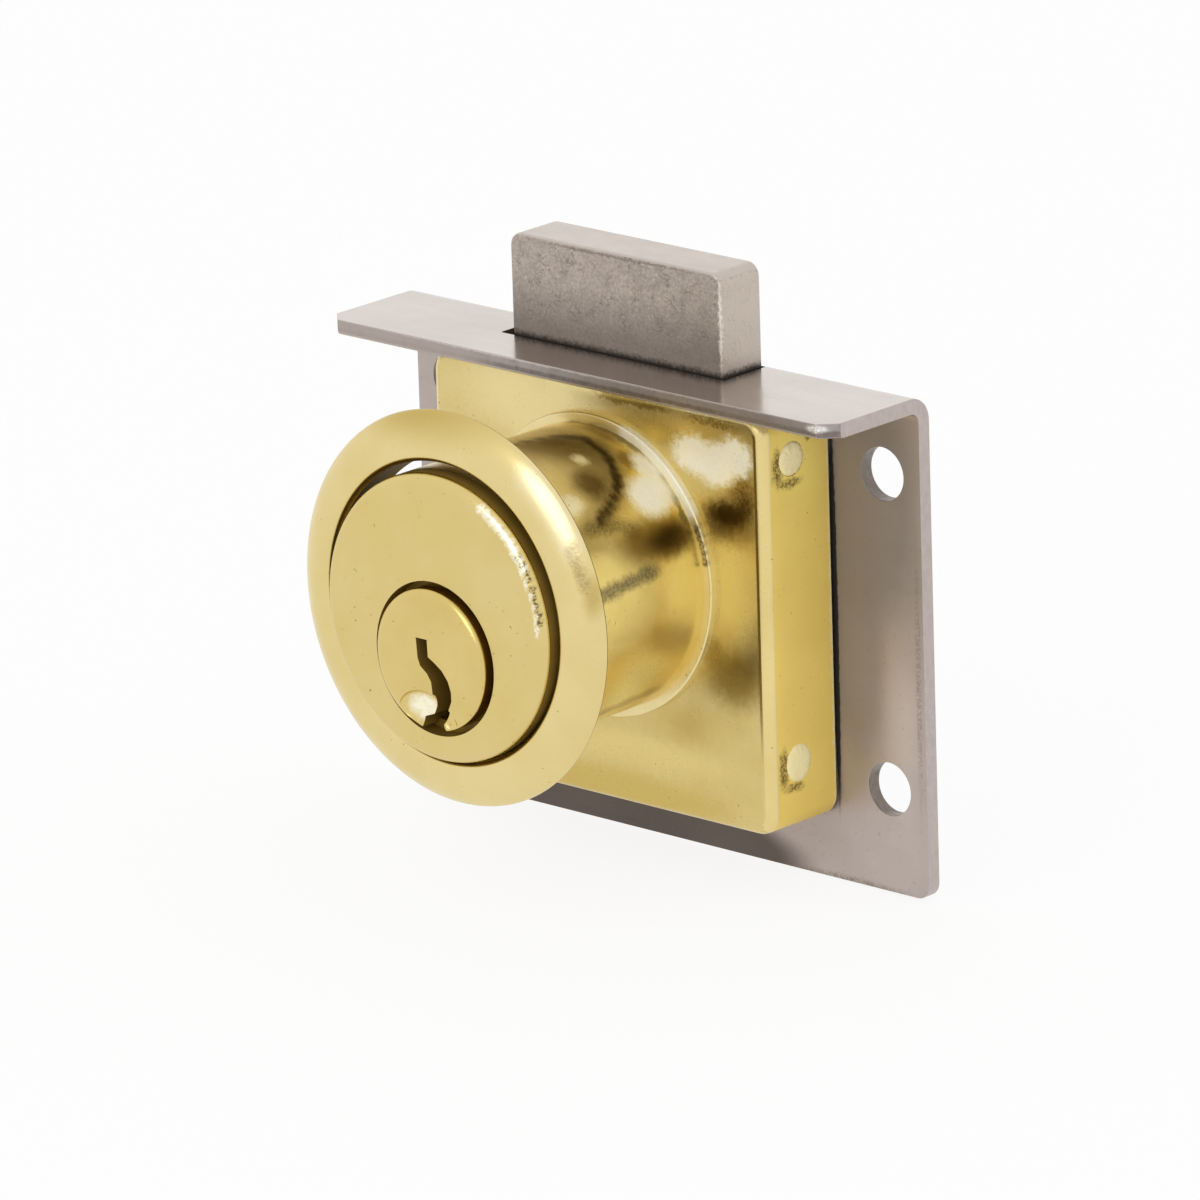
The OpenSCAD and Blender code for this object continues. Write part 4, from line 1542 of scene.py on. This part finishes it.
@dataclass
class Case:
    """The pressed case with its collar, and the rivets in its sides.

    Args:
        at: places from the frame.
        wall: thickness of the wall.
        rounding: radius of the edges that run back to the plate.
        rim: radius of the edges round the front.
        collar_w: width of the collar.
        collar_h: height of the collar.
        collar_roll: rounding of the collar's outer edge.
        grip: how far the collar reaches into the barrel, so that no gap shows between them.
        notch_gap: room round the bolt in the notch in the case's top.
        rivet_r: radius of a rivet.
        rivet_sunk: depth of the dimple in the wall that a rivet's head sits in.
        dimple_r: radius of that dimple.
        batter: how far the hammer moved a rivet's surface.
        edge: width of the broken edges.
    """

    at: Places
    wall: float = 0.9 * MM
    rounding: float = 1.5 * MM
    rim: float = 0.75 * MM
    collar_w: float = 0.62 * MM
    collar_h: float = 0.5 * MM
    collar_roll: float = 0.14 * MM
    grip: float = 0.12 * MM
    notch_gap: float = 0.12 * MM
    rivet_r: float = 1.3 * MM
    rivet_sunk: float = 0.12 * MM
    dimple_r: float = 1.144 * MM
    batter: float = 0.05 * MM
    edge: float = 0.12 * MM
    piece: Piece = field(init=False)
    rivets: Piece = field(init=False)
    # Radius and height in millimetres of a rivet's domed top, and length of its shank.
    DOME = ((0, 0.24), (0.75, 0.23), (1.1, 0.18), (1.28, 0.1))
    SHANK = 0.6 * MM
    # Share of its width that each rivet keeps, and share of its height that an upper one keeps.
    SLIM = 0.92
    SQUAT = 0.86
    # X of a face's normal from which the rounded edge of the front counts as its rim.
    RIM_TURN = 0.28

    @property
    def front(self) -> float:
        """Depth of the case's front face."""
        return -self.at.case.low.y - self.collar_h

    def rivet_places(self) -> list[Vector]:
        """Centres of the rivets on the side walls.

        Returns:
            Four places on the outside of the walls.
        """
        at = self.at
        depth = (at.rivets.low.y + at.rivets.high.y) / 2
        return [Vector((side * at.case.high.x, depth, height)) for side in (-1, 1)
                for height in (at.rivets.low.z + self.rivet_r, at.rivets.high.z - self.rivet_r)]

    def build(self) -> None:
        """Models the case and its rivets."""
        at = self.at
        back = at.case.high.y
        low = Vector((at.case.low.x, -self.front, at.case.low.z))
        high = Vector((at.case.high.x, back, at.case.high.z))
        piece = Bench.block("case", low, high)
        Bench.round_edges(piece, lambda a, b: abs(a.y - b.y) > NEAR, self.rounding, 8)
        Bench.round_edges(piece, lambda a, b: max(a.y, b.y) < -self.front + NEAR, self.rim, 6)
        sunk = Vector((self.wall, self.wall, self.wall))
        hollow = Bench.block("hollow", low + sunk, high - sunk + Vector((0, self.wall + SURPLUS, 0)))
        Bench.round_edges(hollow, lambda a, b: abs(a.y - b.y) > NEAR, self.rounding - self.wall, 4)
        Bench.combine(piece, hollow)
        inner = at.barrel_r - self.grip
        outer = at.barrel_r + self.collar_w
        roll = self.collar_roll
        top = self.front + self.collar_h
        foot = self.front - self.wall / 2
        ring = [(inner, foot), (inner, top), *arc((outer - roll, top - roll), roll, 90, 0, 6), (outer, foot)]
        Bench.combine(piece, Bench.turned("collar", ring, at.barrel_z, closed=True), Use.FUSE)
        Bench.drill(piece, Vector((0, -self.front - self.wall, at.barrel_z)),
                    Vector((0, -self.front + 2 * self.wall, at.barrel_z)), inner)
        low = Vector((at.bolt.low.x - self.notch_gap, at.bolt.low.y - self.notch_gap,
                      at.case.high.z - self.wall - SURPLUS))
        high = Vector((at.bolt.high.x + self.notch_gap, back + SURPLUS, at.case.high.z + SURPLUS))
        notch = Bench.block("notch", low, high)
        bpy.ops.object.mode_set(mode="OBJECT")
        Bench.combine(piece, notch)
        for place in self.rivet_places():
            inwards = Vector((-math.copysign(self.rivet_sunk, place.x), 0, 0))
            Bench.drill(piece, place - inwards, place + inwards, self.dimple_r)
        Bench.break_edges(piece, self.edge, 3, 30)
        self.piece = piece
        self.build_rivets()

    def build_rivets(self) -> None:
        """Models one rivet, copies it to its places, joins the copies and batters them."""
        head = [*((radius * MM, height * MM) for radius, height in self.DOME),
                (self.rivet_r, 0), (self.rivet_r, -self.SHANK), (0, -self.SHANK)]
        first = Bench.turned("rivet", head, 0, steps=48)
        copies = []
        for place in self.rivet_places():
            copy = first.copy()
            copy.data = first.data.copy()
            bpy.context.scene.collection.objects.link(copy)
            side = math.copysign(1, place.x)
            sunk = Vector((-side * self.rivet_sunk, 0, 0))
            height = self.SQUAT if place.z > 0 else 1
            stretch = Matrix.Diagonal((self.SLIM, 1, height, 1))
            turn = Matrix.Rotation(side * math.pi / 2, 4, "Z")
            copy.matrix_world = Matrix.Translation(place + sunk) @ turn @ stretch
            copies.append(copy)
        bpy.data.objects.remove(first)
        Bench.clear()
        for copy in copies:
            copy.select_set(True)
        bpy.context.view_layer.objects.active = copies[0]
        bpy.ops.object.transform_apply(location=True, rotation=True, scale=True)
        bpy.ops.object.join()
        rivets = bpy.context.object
        rivets.name = rivets.data.name = "rivets"
        bpy.ops.object.mode_set(mode="EDIT")
        bpy.ops.mesh.select_all(action="SELECT")
        bpy.ops.transform.vertex_random(offset=self.batter, seed=4)
        bpy.ops.mesh.select_all(action="DESELECT")
        bpy.ops.object.mode_set(mode="OBJECT")
        bpy.ops.object.shade_smooth_by_angle(angle=math.radians(70))
        self.rivets = rivets

    def in_crease(self, centre: Vector, normal: Vector) -> bool:
        """Tells whether a face takes the painted shade of the creases: where the rim starts or at the
        collar's foot.

        Args:
            centre: the face's centre.
            normal: its normal.

        Returns:
            True on such a face.
        """
        at = self.at
        turned = 0.04 < abs(normal.x) < self.RIM_TURN and normal.y < -0.9
        if turned and abs(centre.x) > at.case.high.x - self.rim:
            return True
        away = math.hypot(centre.x, centre.z - at.barrel_z) - at.barrel_r - self.collar_w
        return 0 < away < self.edge and -self.front - self.edge < centre.y < -self.front and normal.y > -0.98

    def dress(self, front: Material, side: Material, rim: Material,
              crease: Material, collar: Material, peened: Material) -> None:
        """Gives the case and the rivets their finishes.

        Args:
            front: finish of the polished front and its edges.
            side: finish of the side walls, which are less polished.
            rim: finish of the rim at the front's sides.
            crease: painted shade of the creases.
            collar: finish of the collar.
            peened: finish of the rivets.
        """
        Bench.paint(self.piece, front)
        limit = -self.front + self.rim
        Bench.paint(self.piece, side, lambda c, n: c.y > limit and abs(n.y) < 0.3)
        Bench.paint(self.piece, rim, lambda c, n: c.y < limit and abs(n.x) > self.RIM_TURN
                    and abs(c.x) > self.at.case.high.x - self.rim)
        Bench.paint(self.piece, collar, lambda c, n: c.y < -self.front - self.edge)
        Bench.paint(self.piece, crease, self.in_crease)
        Bench.paint(self.rivets, peened)
        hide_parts("case_shell")
        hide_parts("case_rivets")


@dataclass
class Barrel:
    """The round cylinder housing, its plug recess and the cover over its pin chambers.

    Args:
        at: places from the frame.
        edge_r: rounding of the front edge.
        gap_shade_w: width of the band of painted shade behind that edge, in the bezel's shade.
        shoulder: depth of the shoulder that seats on the body.
        spigot_r: radius of the spigot behind it.
        recess_gap: room round the plug's head.
        recess_depth: depth of the recess for the plug's head.
        bore_gap: clearance of the plug in its bore and of the pins in theirs.
        head_lip: width of the plug's head outside its body.
        cam_gap: room round the cam in its pocket.
        cam_room: room before the cam.
        roof: how far below the barrel's top the pin chambers end.
        edge: width of the broken edges.
    """

    at: Places
    edge_r: float = 0.65 * MM
    gap_shade_w: float = 1.1 * MM
    shoulder: float = 6.55 * MM
    spigot_r: float = 8.5 * MM
    recess_gap: float = 0.42 * MM
    recess_depth: float = 1.2 * MM
    bore_gap: float = 0.05 * MM
    head_lip: float = 0.22 * MM
    cam_gap: float = 0.15 * MM
    cam_room: float = 0.1 * MM
    roof: float = 1.1 * MM
    edge: float = 0.06 * MM
    piece: Piece = field(init=False)

    def build(self) -> None:
        """Models the barrel."""
        at = self.at
        back = -at.barrel.high.y
        edge_foot = at.face - self.edge_r
        profile = [(0, back), (self.spigot_r, back), (self.spigot_r, self.shoulder),
                   (at.barrel_r, self.shoulder), (at.barrel_r, edge_foot - self.gap_shade_w),
                   *arc((at.barrel_r - self.edge_r, edge_foot), self.edge_r, 0, 90, 8), (0, at.face)]
        piece = Bench.turned("barrel", profile, at.barrel_z)
        centre = Vector((0, 0, at.plug_z))
        front = centre + Vector((0, -at.face - SURPLUS, 0))
        rear = centre + Vector((0, -back + SURPLUS, 0))
        Bench.drill(piece, front, rear, at.head_r - self.head_lip + self.bore_gap)
        Bench.drill(piece, front, centre + Vector((0, self.recess_depth - at.face, 0)),
                    at.head_r + self.recess_gap, ROUND_STEPS)
        cam_r = (at.cam.high.x - at.cam.low.x) / 2 + self.cam_gap
        Bench.drill(piece, centre + Vector((0, at.cam.low.y - self.cam_room, 0)), rear, cam_r)
        for number in PINS:
            pin = Box.of(f"driver_pin_{number}")
            depth = pin.middle.y
            Bench.drill(piece, Vector((0, depth, at.plug_z)),
                        Vector((0, depth, at.barrel.high.z - self.roof)), pin.high.x + self.bore_gap)
        Bench.break_edges(piece, self.edge, 2, 50)
        self.piece = piece

    def recessed(self, centre: Vector, normal: Vector) -> bool:
        """Tells whether a face lies in the recess round the plug.

        Args:
            centre: the face's centre.
            normal: its normal.

        Returns:
            True on the recess's wall and floor and in the bore behind it.
        """
        reach = math.hypot(centre.x, centre.z - self.at.plug_z)
        return reach < self.at.head_r + self.recess_gap + 2 * NEAR and centre.y < -self.shoulder

    def dress(self, face: Material, neck: Material, recess: Material,
              gap_shade: Material) -> None:
        """Gives the barrel its finishes.

        Args:
            face: finish of its face and front edge.
            neck: finish of its neck.
            recess: finish of the recess round the plug.
            gap_shade: painted shade of the band behind its front edge.
        """
        limit = self.edge_r - self.at.face
        Bench.paint(self.piece, neck)
        # Painted shade behind the front edge.
        Bench.paint(self.piece, gap_shade, lambda c, n: c.y < limit + self.gap_shade_w)
        Bench.paint(self.piece, face, lambda c, n: c.y < limit)
        Bench.paint(self.piece, recess, self.recessed)
        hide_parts("cylinder_barrel", "chamber_cover")


@dataclass
class Bezel:
    """The loose ring round the front of the barrel.

    Args:
        at: places from the frame.
        step: how much wider the opening is than the sleeve's bore.
        step_depth: how far behind the crest the bore narrows.
        metal: thickness of its metal.
        crown: radius of its crown in section.
        crown_in: how far outside the opening the middle of that radius lies.
        roll: rounding of its hole's edge.
        rim_w: thickness of its metal at the rim.
        lip: rounding of the rim.
        sleeve_w: thickness of the sleeve's end.
        fit: clearance of its sleeve on the barrel.
    """

    at: Places
    step: float = 0.15 * MM
    step_depth: float = 0.45 * MM
    metal: float = 0.7 * MM
    crown: float = 3.4 * MM
    crown_in: float = 0.448 * MM
    roll: float = 0.3 * MM
    rim_w: float = 0.56 * MM
    lip: float = 0.12 * MM
    sleeve_w: float = 0.525 * MM
    fit: float = 0.05 * MM
    piece: Piece = field(init=False)

    def build(self) -> None:
        """Models the ring."""
        at = self.at
        crest, foot = -at.bezel.low.y, -at.bezel.high.y
        rim = at.bezel.high.x
        axis_z = (at.bezel.low.z + at.bezel.high.z) / 2
        tight = at.barrel_r + axis_z - at.barrel_z + self.fit
        hole = tight + self.step
        middle = (hole + self.crown_in, crest - self.crown)
        inner = self.crown - self.metal
        outer_end = math.degrees(math.acos((rim - middle[0]) / self.crown))
        inner_end = math.degrees(math.acos((rim - self.rim_w - middle[0]) / inner))
        deeper = self.crown - self.roll
        start = math.degrees(math.acos((hole + self.roll - middle[0]) / deeper))
        rolled = (hole + self.roll, middle[1] + deeper * math.sin(math.radians(start)))
        rim_depth = middle[1] + self.crown * math.sin(math.radians(outer_end))
        lipped = (rim - self.lip, rim_depth - self.lip)
        profile = [*arc(rolled, self.roll, 180, start + 6, 7),
                   *arc(middle, self.crown, start, outer_end + 2, 22), *arc(lipped, self.lip, 20, -60, 4),
                   *arc(middle, inner, inner_end, 90, 12), (tight + self.sleeve_w, foot), (tight, foot),
                   (tight, crest - self.step_depth)]
        self.piece = Bench.turned("bezel", profile, axis_z, closed=True)
        Bench.hold(self.piece)
        bpy.ops.object.shade_smooth_by_angle(angle=math.radians(40))

    def dress(self, plating: Material, inside: Material) -> None:
        """Gives the ring its finishes.

        Args:
            plating: finish of the crown.
            inside: finish of the back and the bore, painted dark as shade.
        """
        axis_z = (self.at.bezel.low.z + self.at.bezel.high.z) / 2
        Bench.paint(self.piece, plating)
        Bench.paint(self.piece, inside, lambda c, n: n.y > 0.05 or n.x * c.x + n.z * (c.z - axis_z) < 0
                    and abs(n.y) < 0.5)
        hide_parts("bezel_ring")


@dataclass
class Plug:
    """The turning plug with its keyway, the scoop beside it and its pin holes.

    Args:
        at: places from the frame.
        lip: width of the head outside the body.
        edge_w: width of the rounding of the head's front edge.
        edge_depth: depth of that rounding as a share of its width.
        head: length of the head.
        tail_w: width of the square tail.
        cam_room: room between the body and the cam.
        pin_gap: clearance of the pins in their holes.
        pin_foot: how far below the axis those holes end.
        edge: width of the broken edges.
    """

    at: Places
    lip: float = 0.22 * MM
    edge_w: float = 0.95 * MM
    edge_depth: float = 0.42
    head: float = 1.8 * MM
    tail_w: float = 3.0 * MM
    cam_room: float = 0.1 * MM
    pin_gap: float = 0.05 * MM
    pin_foot: float = 4 * MM
    edge: float = 0.06 * MM
    piece: Piece = field(init=False)
    # X and Z in millimetres of the keyway's corners in order, counted from the plug's axis.
    KEYWAY = ((-0.95, 1.42), (0, 1.42), (0.05, 0.3), (0.6, 0), (1.2, -0.4), (1.7, -1), (1.95, -1.7),
              (1.95, -2.3), (1.6, -3.1), (1.2, -3.9), (1.15, -6), (-0.9, -6), (-0.9, -3.9), (-0.1, -3.6),
              (0.2, -3), (0.35, -2.1), (0.25, -1.3), (-0.1, -0.8), (-0.65, -0.4), (-0.85, 0.1))
    # X, Z and half width in millimetres of each scoop, and its tilt in degrees.
    SCOOPS = ((-0.798, -3.325, 1.9, -14), (1.7, -3.7, 0.855, 60))
    # A scoop's width, depth and height as shares of its width.
    SCOOP_SHAPE = (1, 0.35, 0.68)

    def build(self) -> None:
        """Models the plug."""
        at = self.at
        front = -at.plug.low.y
        body_back = -at.cam.low.y + self.cam_room
        body_r = at.head_r - self.lip
        shoulder = front - self.head
        rounding = arc((at.head_r - self.edge_w, front - self.edge_depth * self.edge_w), self.edge_w, 0, 90,
                       10, self.edge_depth)
        profile = [(0, body_back), (body_r, body_back), (body_r, shoulder), (at.head_r, shoulder),
                   *rounding, (0, front)]
        piece = Bench.turned("plug_core", profile, at.plug_z)
        half = self.tail_w / 2
        tail = Bench.block("tail", Vector((-half, -body_back - SURPLUS, at.plug_z - half)),
                           Vector((half, at.cam.high.y, at.plug_z + half)))
        bpy.ops.object.mode_set(mode="OBJECT")
        Bench.combine(piece, tail, Use.FUSE)
        way = [Vector((x * MM, -front - SURPLUS, at.plug_z + z * MM)) for x, z in self.KEYWAY]
        length = front + SURPLUS + Box.of(f"key_pin_{PINS[-1]}").high.y
        Bench.combine(piece, Bench.prism("way", way, Vector((0, length, 0))))
        for x, z, half_w, tilt in self.SCOOPS:
            self.scoop(piece, Vector((x * MM, -front, at.plug_z + z * MM)), half_w * MM, tilt)
        for number in PINS:
            pin = Box.of(f"key_pin_{number}")
            depth = pin.middle.y
            Bench.drill(piece, Vector((0, depth, at.plug_z - self.pin_foot)),
                        Vector((0, depth, at.plug_z + body_r + SURPLUS)), pin.high.x + self.pin_gap)
        Bench.break_edges(piece, self.edge, 2, 35)
        self.piece = piece

    def scoop(self, piece: Piece, centre: Vector, half_w: float, tilt: float) -> None:
        """Cuts a shallow oval scoop.

        Args:
            piece: the piece that is cut.
            centre: centre of the scoop on the face.
            half_w: half its width.
            tilt: its tilt in degrees.
        """
        Bench.clear()
        bpy.ops.mesh.primitive_uv_sphere_add(segments=64, ring_count=32, radius=half_w, location=centre,
                                             rotation=(0, math.radians(tilt), 0))
        tool = bpy.context.object
        tool.scale = self.SCOOP_SHAPE
        bpy.ops.object.transform_apply(location=True, rotation=True, scale=True)
        Bench.combine(piece, tool)

    def in_keyway(self, centre: Vector, normal: Vector) -> bool:
        """Tells whether a face is a wall of the keyway or of a pin hole.

        Args:
            centre: the face's centre.
            normal: its normal.

        Returns:
            True on such a wall.
        """
        reach = math.hypot(centre.x, centre.z - self.at.plug_z)
        outside = self.at.head_r - self.lip - 5 * NEAR
        return abs(normal.y) < 0.3 and reach < outside and centre.y > self.at.plug.low.y + 10 * NEAR

    def dress(self, metal: Material, keyway: Material) -> None:
        """Gives the plug its finishes.

        Args:
            metal: finish of the plug.
            keyway: finish of the keyway's walls.
        """
        Bench.paint(self.piece, metal)
        Bench.paint(self.piece, keyway, self.in_keyway)
        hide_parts("plug")


@dataclass
class Bolt:
    """The dead bolt with its rounded corners and the cross slot for the drive stud.

    Args:
        at: places from the frame.
        corner: radius of the top corners, seen from the front.
        edge: rounding of the other edges.
        slot_gap: room above and below the drive stud in the cross slot.
        slot_end: room beside it at the slot's ends.
    """

    at: Places
    corner: float = 0.9 * MM
    edge: float = 0.2 * MM
    slot_gap: float = 0.77 * MM
    slot_end: float = 0.15 * MM
    piece: Piece = field(init=False)

    def build(self) -> None:
        """Models the bolt."""
        at = self.at
        piece = Bench.block("dead_bolt_bar", at.bolt.low, at.bolt.high)
        Bench.round_edges(piece, lambda a, b: min(a.z, b.z) > at.bolt.high.z - NEAR and abs(a.y - b.y) > NEAR,
                          self.corner, 8)
        stud = Box.of("drive_stud")
        height = stud.middle.z
        stud_r = (stud.high.z - stud.low.z) / 2
        half_h = stud_r + self.slot_gap
        reach = height - at.plug_z + stud_r + self.slot_end - half_h
        ends = [*arc((reach, height), half_h, -90, 90, 16), *arc((-reach, height), half_h, 90, 270, 16)]
        outline = [Vector((x, at.bolt.low.y - SURPLUS, z)) for x, z in ends]
        through = Vector((0, at.bolt.high.y - at.bolt.low.y + 2 * SURPLUS, 0))
        Bench.combine(piece, Bench.prism("cross", outline, through))
        Bench.break_edges(piece, self.edge, 3, 50)
        self.piece = piece

    def dress(self, metal: Material, top: Material) -> None:
        """Gives the bolt its finishes.

        Args:
            metal: finish of the bolt.
            top: finish of its top.
        """
        Bench.paint(self.piece, metal)
        Bench.paint(self.piece, top, lambda c, n: n.z > 0.5 and c.z > self.at.bolt.high.z - self.corner)
        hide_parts("bolt")


@dataclass
class Inside:
    """Inner pieces that stay as the frame has them and only get their finishes.

    Args:
        shown: names of the pieces of each metal.
    """

    shown: dict[Metal, list[str]] = field(default_factory=lambda: {
        Metal.ZINC: ["lock_body"],
        Metal.STEEL: ["drive_cam", "drive_stud", *[f"driver_pin_{n}" for n in PINS]],
        Metal.BRASS: [f"key_pin_{n}" for n in PINS],
        Metal.WIRE: [f"pin_spring_{n}" for n in PINS]})

    def dress(self, finishes: dict[Metal, Material]) -> None:
        """Gives each inner piece its finish.

        Args:
            finishes: material of each metal.
        """
        for metal, names in self.shown.items():
            for name in names:
                node = frame["nodes"][name]
                node.data.materials.clear()
                node.data.materials.append(finishes[metal])


@dataclass
class Studio:
    """Camera, lights, floor and background.

    Args:
        floor_z: height of the floor.
        azimuth: camera's angle to the lock's right, in degrees.
        elevation: camera's angle above the horizon, in degrees.
        roll: camera's roll, in degrees.
        distance: distance from the camera to the point that it is aimed past.
        aim: that point.
        aside: how far the camera stands to its right of the line through that point.
        above: how far it stands above that line.
        lens: focal length for the sensor width.
        sensor: width of the sensor.
    """

    floor_z: float
    azimuth: float = 42.92
    elevation: float = 16.9
    roll: float = 1.8
    distance: float = 724.7 * MM
    aim: Vector = field(default_factory=lambda: Vector((0, -8.223, -1.832)) * MM)
    aside: float = 0.4 * MM
    above: float = 2.25 * MM
    lens: float = 341.2
    sensor: float = 36.0
    # Brightness of the world low down and high up, each after the height it is reached at.
    WORLD_LOW = (-0.6, 0.84)
    WORLD_HIGH = (0.8, 0.9)
    FLOOR_W = 3
    FLOOR_COLOUR = (0.95, 0.95, 0.945)
    # How much of the floor shows as plain white, the rest being its shaded surface.
    FLOOR_WHITE = 0.88
    # Name, place, width and power of each soft box, and the point that they face.
    LAMPS = (("front_box", (0.12, -0.546, 0.33), 0.36, 0.42), ("rear_box", (-0.5, 0.55, 0.25), 0.45, 0.1))
    LIT = Vector((0, -10, 0)) * MM

    def build(self) -> None:
        """Makes the whole studio."""
        self.camera()
        self.world()
        self.floor()
        self.lamps()
        bpy.context.scene.view_settings.view_transform = "Standard"

    def camera(self) -> None:
        """Makes the camera at the photograph's viewing angle."""
        a, e, turn = (math.radians(v) for v in (self.azimuth, self.elevation, self.roll))
        back = Vector((math.sin(a) * math.cos(e), -math.cos(a) * math.cos(e), math.sin(e)))
        level = Vector((math.cos(a), math.sin(a), 0))
        upright = back.cross(level)
        right = level * math.cos(turn) - upright * math.sin(turn)
        up = level * math.sin(turn) + upright * math.cos(turn)
        data = bpy.data.cameras.new("camera")
        data.lens = self.lens
        data.sensor_width = self.sensor
        data.clip_start = 0.01
        data.clip_end = 20
        camera = bpy.data.objects.new("camera", data)
        bpy.context.scene.collection.objects.link(camera)
        place = self.aim + back * self.distance + right * self.aside + up * self.above
        camera.matrix_world = Matrix.Translation(place) @ Matrix((right, up, back)).transposed().to_4x4()
        bpy.context.scene.camera = camera

    @staticmethod
    def seen(nodes: NodeTree) -> Socket:
        """Tells the rays that show the background, straight or in metal and glass, from those that light.

        Args:
            nodes: the node layout that needs it.

        Returns:
            A value of 1 for those rays and 0 for the others.
        """
        path = nodes.add("ShaderNodeLightPath")
        value = path.outputs["Is Camera Ray"]
        for other in ("Is Glossy Ray", "Is Transmission Ray"):
            value = nodes.reckon(Sum.GREATER, value, path.outputs[other])
        return value

    def world(self) -> None:
        """Makes a pale world that the camera, metal and glass see as white."""
        world = bpy.data.worlds.new("studio")
        world.use_nodes = True
        bpy.context.scene.world = world
        nodes = NodeTree(world.node_tree)
        background = world.node_tree.nodes["Background"]
        seen = self.seen(nodes)
        place = nodes.add("ShaderNodeTexCoord")
        height = nodes.add("ShaderNodeSeparateXYZ")
        nodes.join(place.outputs["Generated"], height.inputs["Vector"])
        (low, dim), (high, bright) = self.WORLD_LOW, self.WORLD_HIGH
        tone = nodes.remap(height.outputs["Z"], low, high, dim, bright)
        shade = nodes.add("ShaderNodeCombineColor")
        for channel in ("Red", "Green", "Blue"):
            nodes.join(tone, shade.inputs[channel])
        nodes.join(nodes.blend(seen, shade.outputs["Color"], (1, 1, 1)), background.inputs["Color"])
        background.inputs["Strength"].default_value = 1

    def floor(self) -> None:
        """Makes a plain pale floor that keeps a faint shadow."""
        Bench.clear()
        bpy.ops.mesh.primitive_plane_add(size=self.FLOOR_W, location=(0, 0, self.floor_z))
        floor = bpy.context.object
        floor.name = "floor"
        bpy.ops.object.transform_apply(location=True, rotation=True, scale=True)
        material = bpy.data.materials.new("pale_floor")
        material.use_nodes = True
        nodes = NodeTree(material.node_tree)
        shader = material.node_tree.nodes["Principled BSDF"]
        shader.inputs["Base Color"].default_value = (*self.FLOOR_COLOUR, 1)
        shader.inputs["Roughness"].default_value = 0.8
        white = nodes.add("ShaderNodeEmission")
        white.inputs["Color"].default_value = (1, 1, 1, 1)
        mix = nodes.add("ShaderNodeMixShader")
        nodes.join(nodes.reckon(Sum.PRODUCT, self.seen(nodes), self.FLOOR_WHITE), mix.inputs["Fac"])
        nodes.join(shader.outputs["BSDF"], mix.inputs[1])
        nodes.join(white.outputs["Emission"], mix.inputs[2])
        nodes.join(mix.outputs["Shader"], material.node_tree.nodes["Material Output"].inputs["Surface"])
        floor.data.materials.append(material)

    def lamps(self) -> None:
        """Makes the soft boxes."""
        for name, corner, width, power in self.LAMPS:
            data = bpy.data.lights.new(name, "AREA")
            data.size = width
            data.energy = power
            lamp = bpy.data.objects.new(name, data)
            bpy.context.scene.collection.objects.link(lamp)
            place = Vector(corner)
            facing = (place - self.LIT).to_track_quat("Z", "Y")
            lamp.matrix_world = Matrix.Translation(place) @ facing.to_matrix().to_4x4()


def report(piece: Piece, body: Body, slot: Slot) -> None:
    """Makes a finished piece ride on its body and reports it.

    Args:
        piece: the piece.
        body: the body that it moves with.
        slot: the record's material slot for it; not used.
    """
    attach(piece, body.value)
    log.info("%s rides on %s, %d faces", piece.name, body.value, len(piece.data.polygons))


def main() -> None:
    """Builds the studio and every piece of the lock in order."""
    logging.basicConfig(level=logging.INFO, format="%(name)s: %(message)s")
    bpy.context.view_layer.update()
    at = Places.read()
    Studio(at.plate.low.z - FLOOR_GAP).build()

    finishes = Finishes(at)
    plate = BackPlate(at)
    plate.build()
    plate.dress(finishes.plate_face(), finishes.flange_top(), finishes.cut_edge(), finishes.flange_lip(),
                finishes.hole_wall())
    report(plate.piece, Body.HOUSING, Slot.NICKEL)

    case = Case(at)
    case.build()
    case.dress(finishes.case_front(), finishes.case_side(), finishes.rim(), finishes.crease(),
               finishes.collar(), finishes.rivet())
    report(case.piece, Body.HOUSING, Slot.BRASS)
    report(case.rivets, Body.HOUSING, Slot.BRASS)

    barrel = Barrel(at)
    barrel.build()
    unlit = finishes.unlit()
    barrel.dress(finishes.barrel_face(), finishes.barrel_neck(), unlit, unlit)
    report(barrel.piece, Body.HOUSING, Slot.BRASS)

    bezel = Bezel(at)
    bezel.build()
    bezel.dress(finishes.bezel(), finishes.bezel_inside())
    report(bezel.piece, Body.BEZEL, Slot.BRASS)

    plug = Plug(at)
    plug.build()
    plug.dress(finishes.plug(), unlit)
    report(plug.piece, Body.PLUG, Slot.PLUG)

    bolt = Bolt(at)
    bolt.build()
    bolt.dress(finishes.bolt(), finishes.bolt_top())
    report(bolt.piece, Body.BOLT, Slot.BOLT)

    Inside().dress(finishes.inner())


if __name__ == "__main__":
    main()
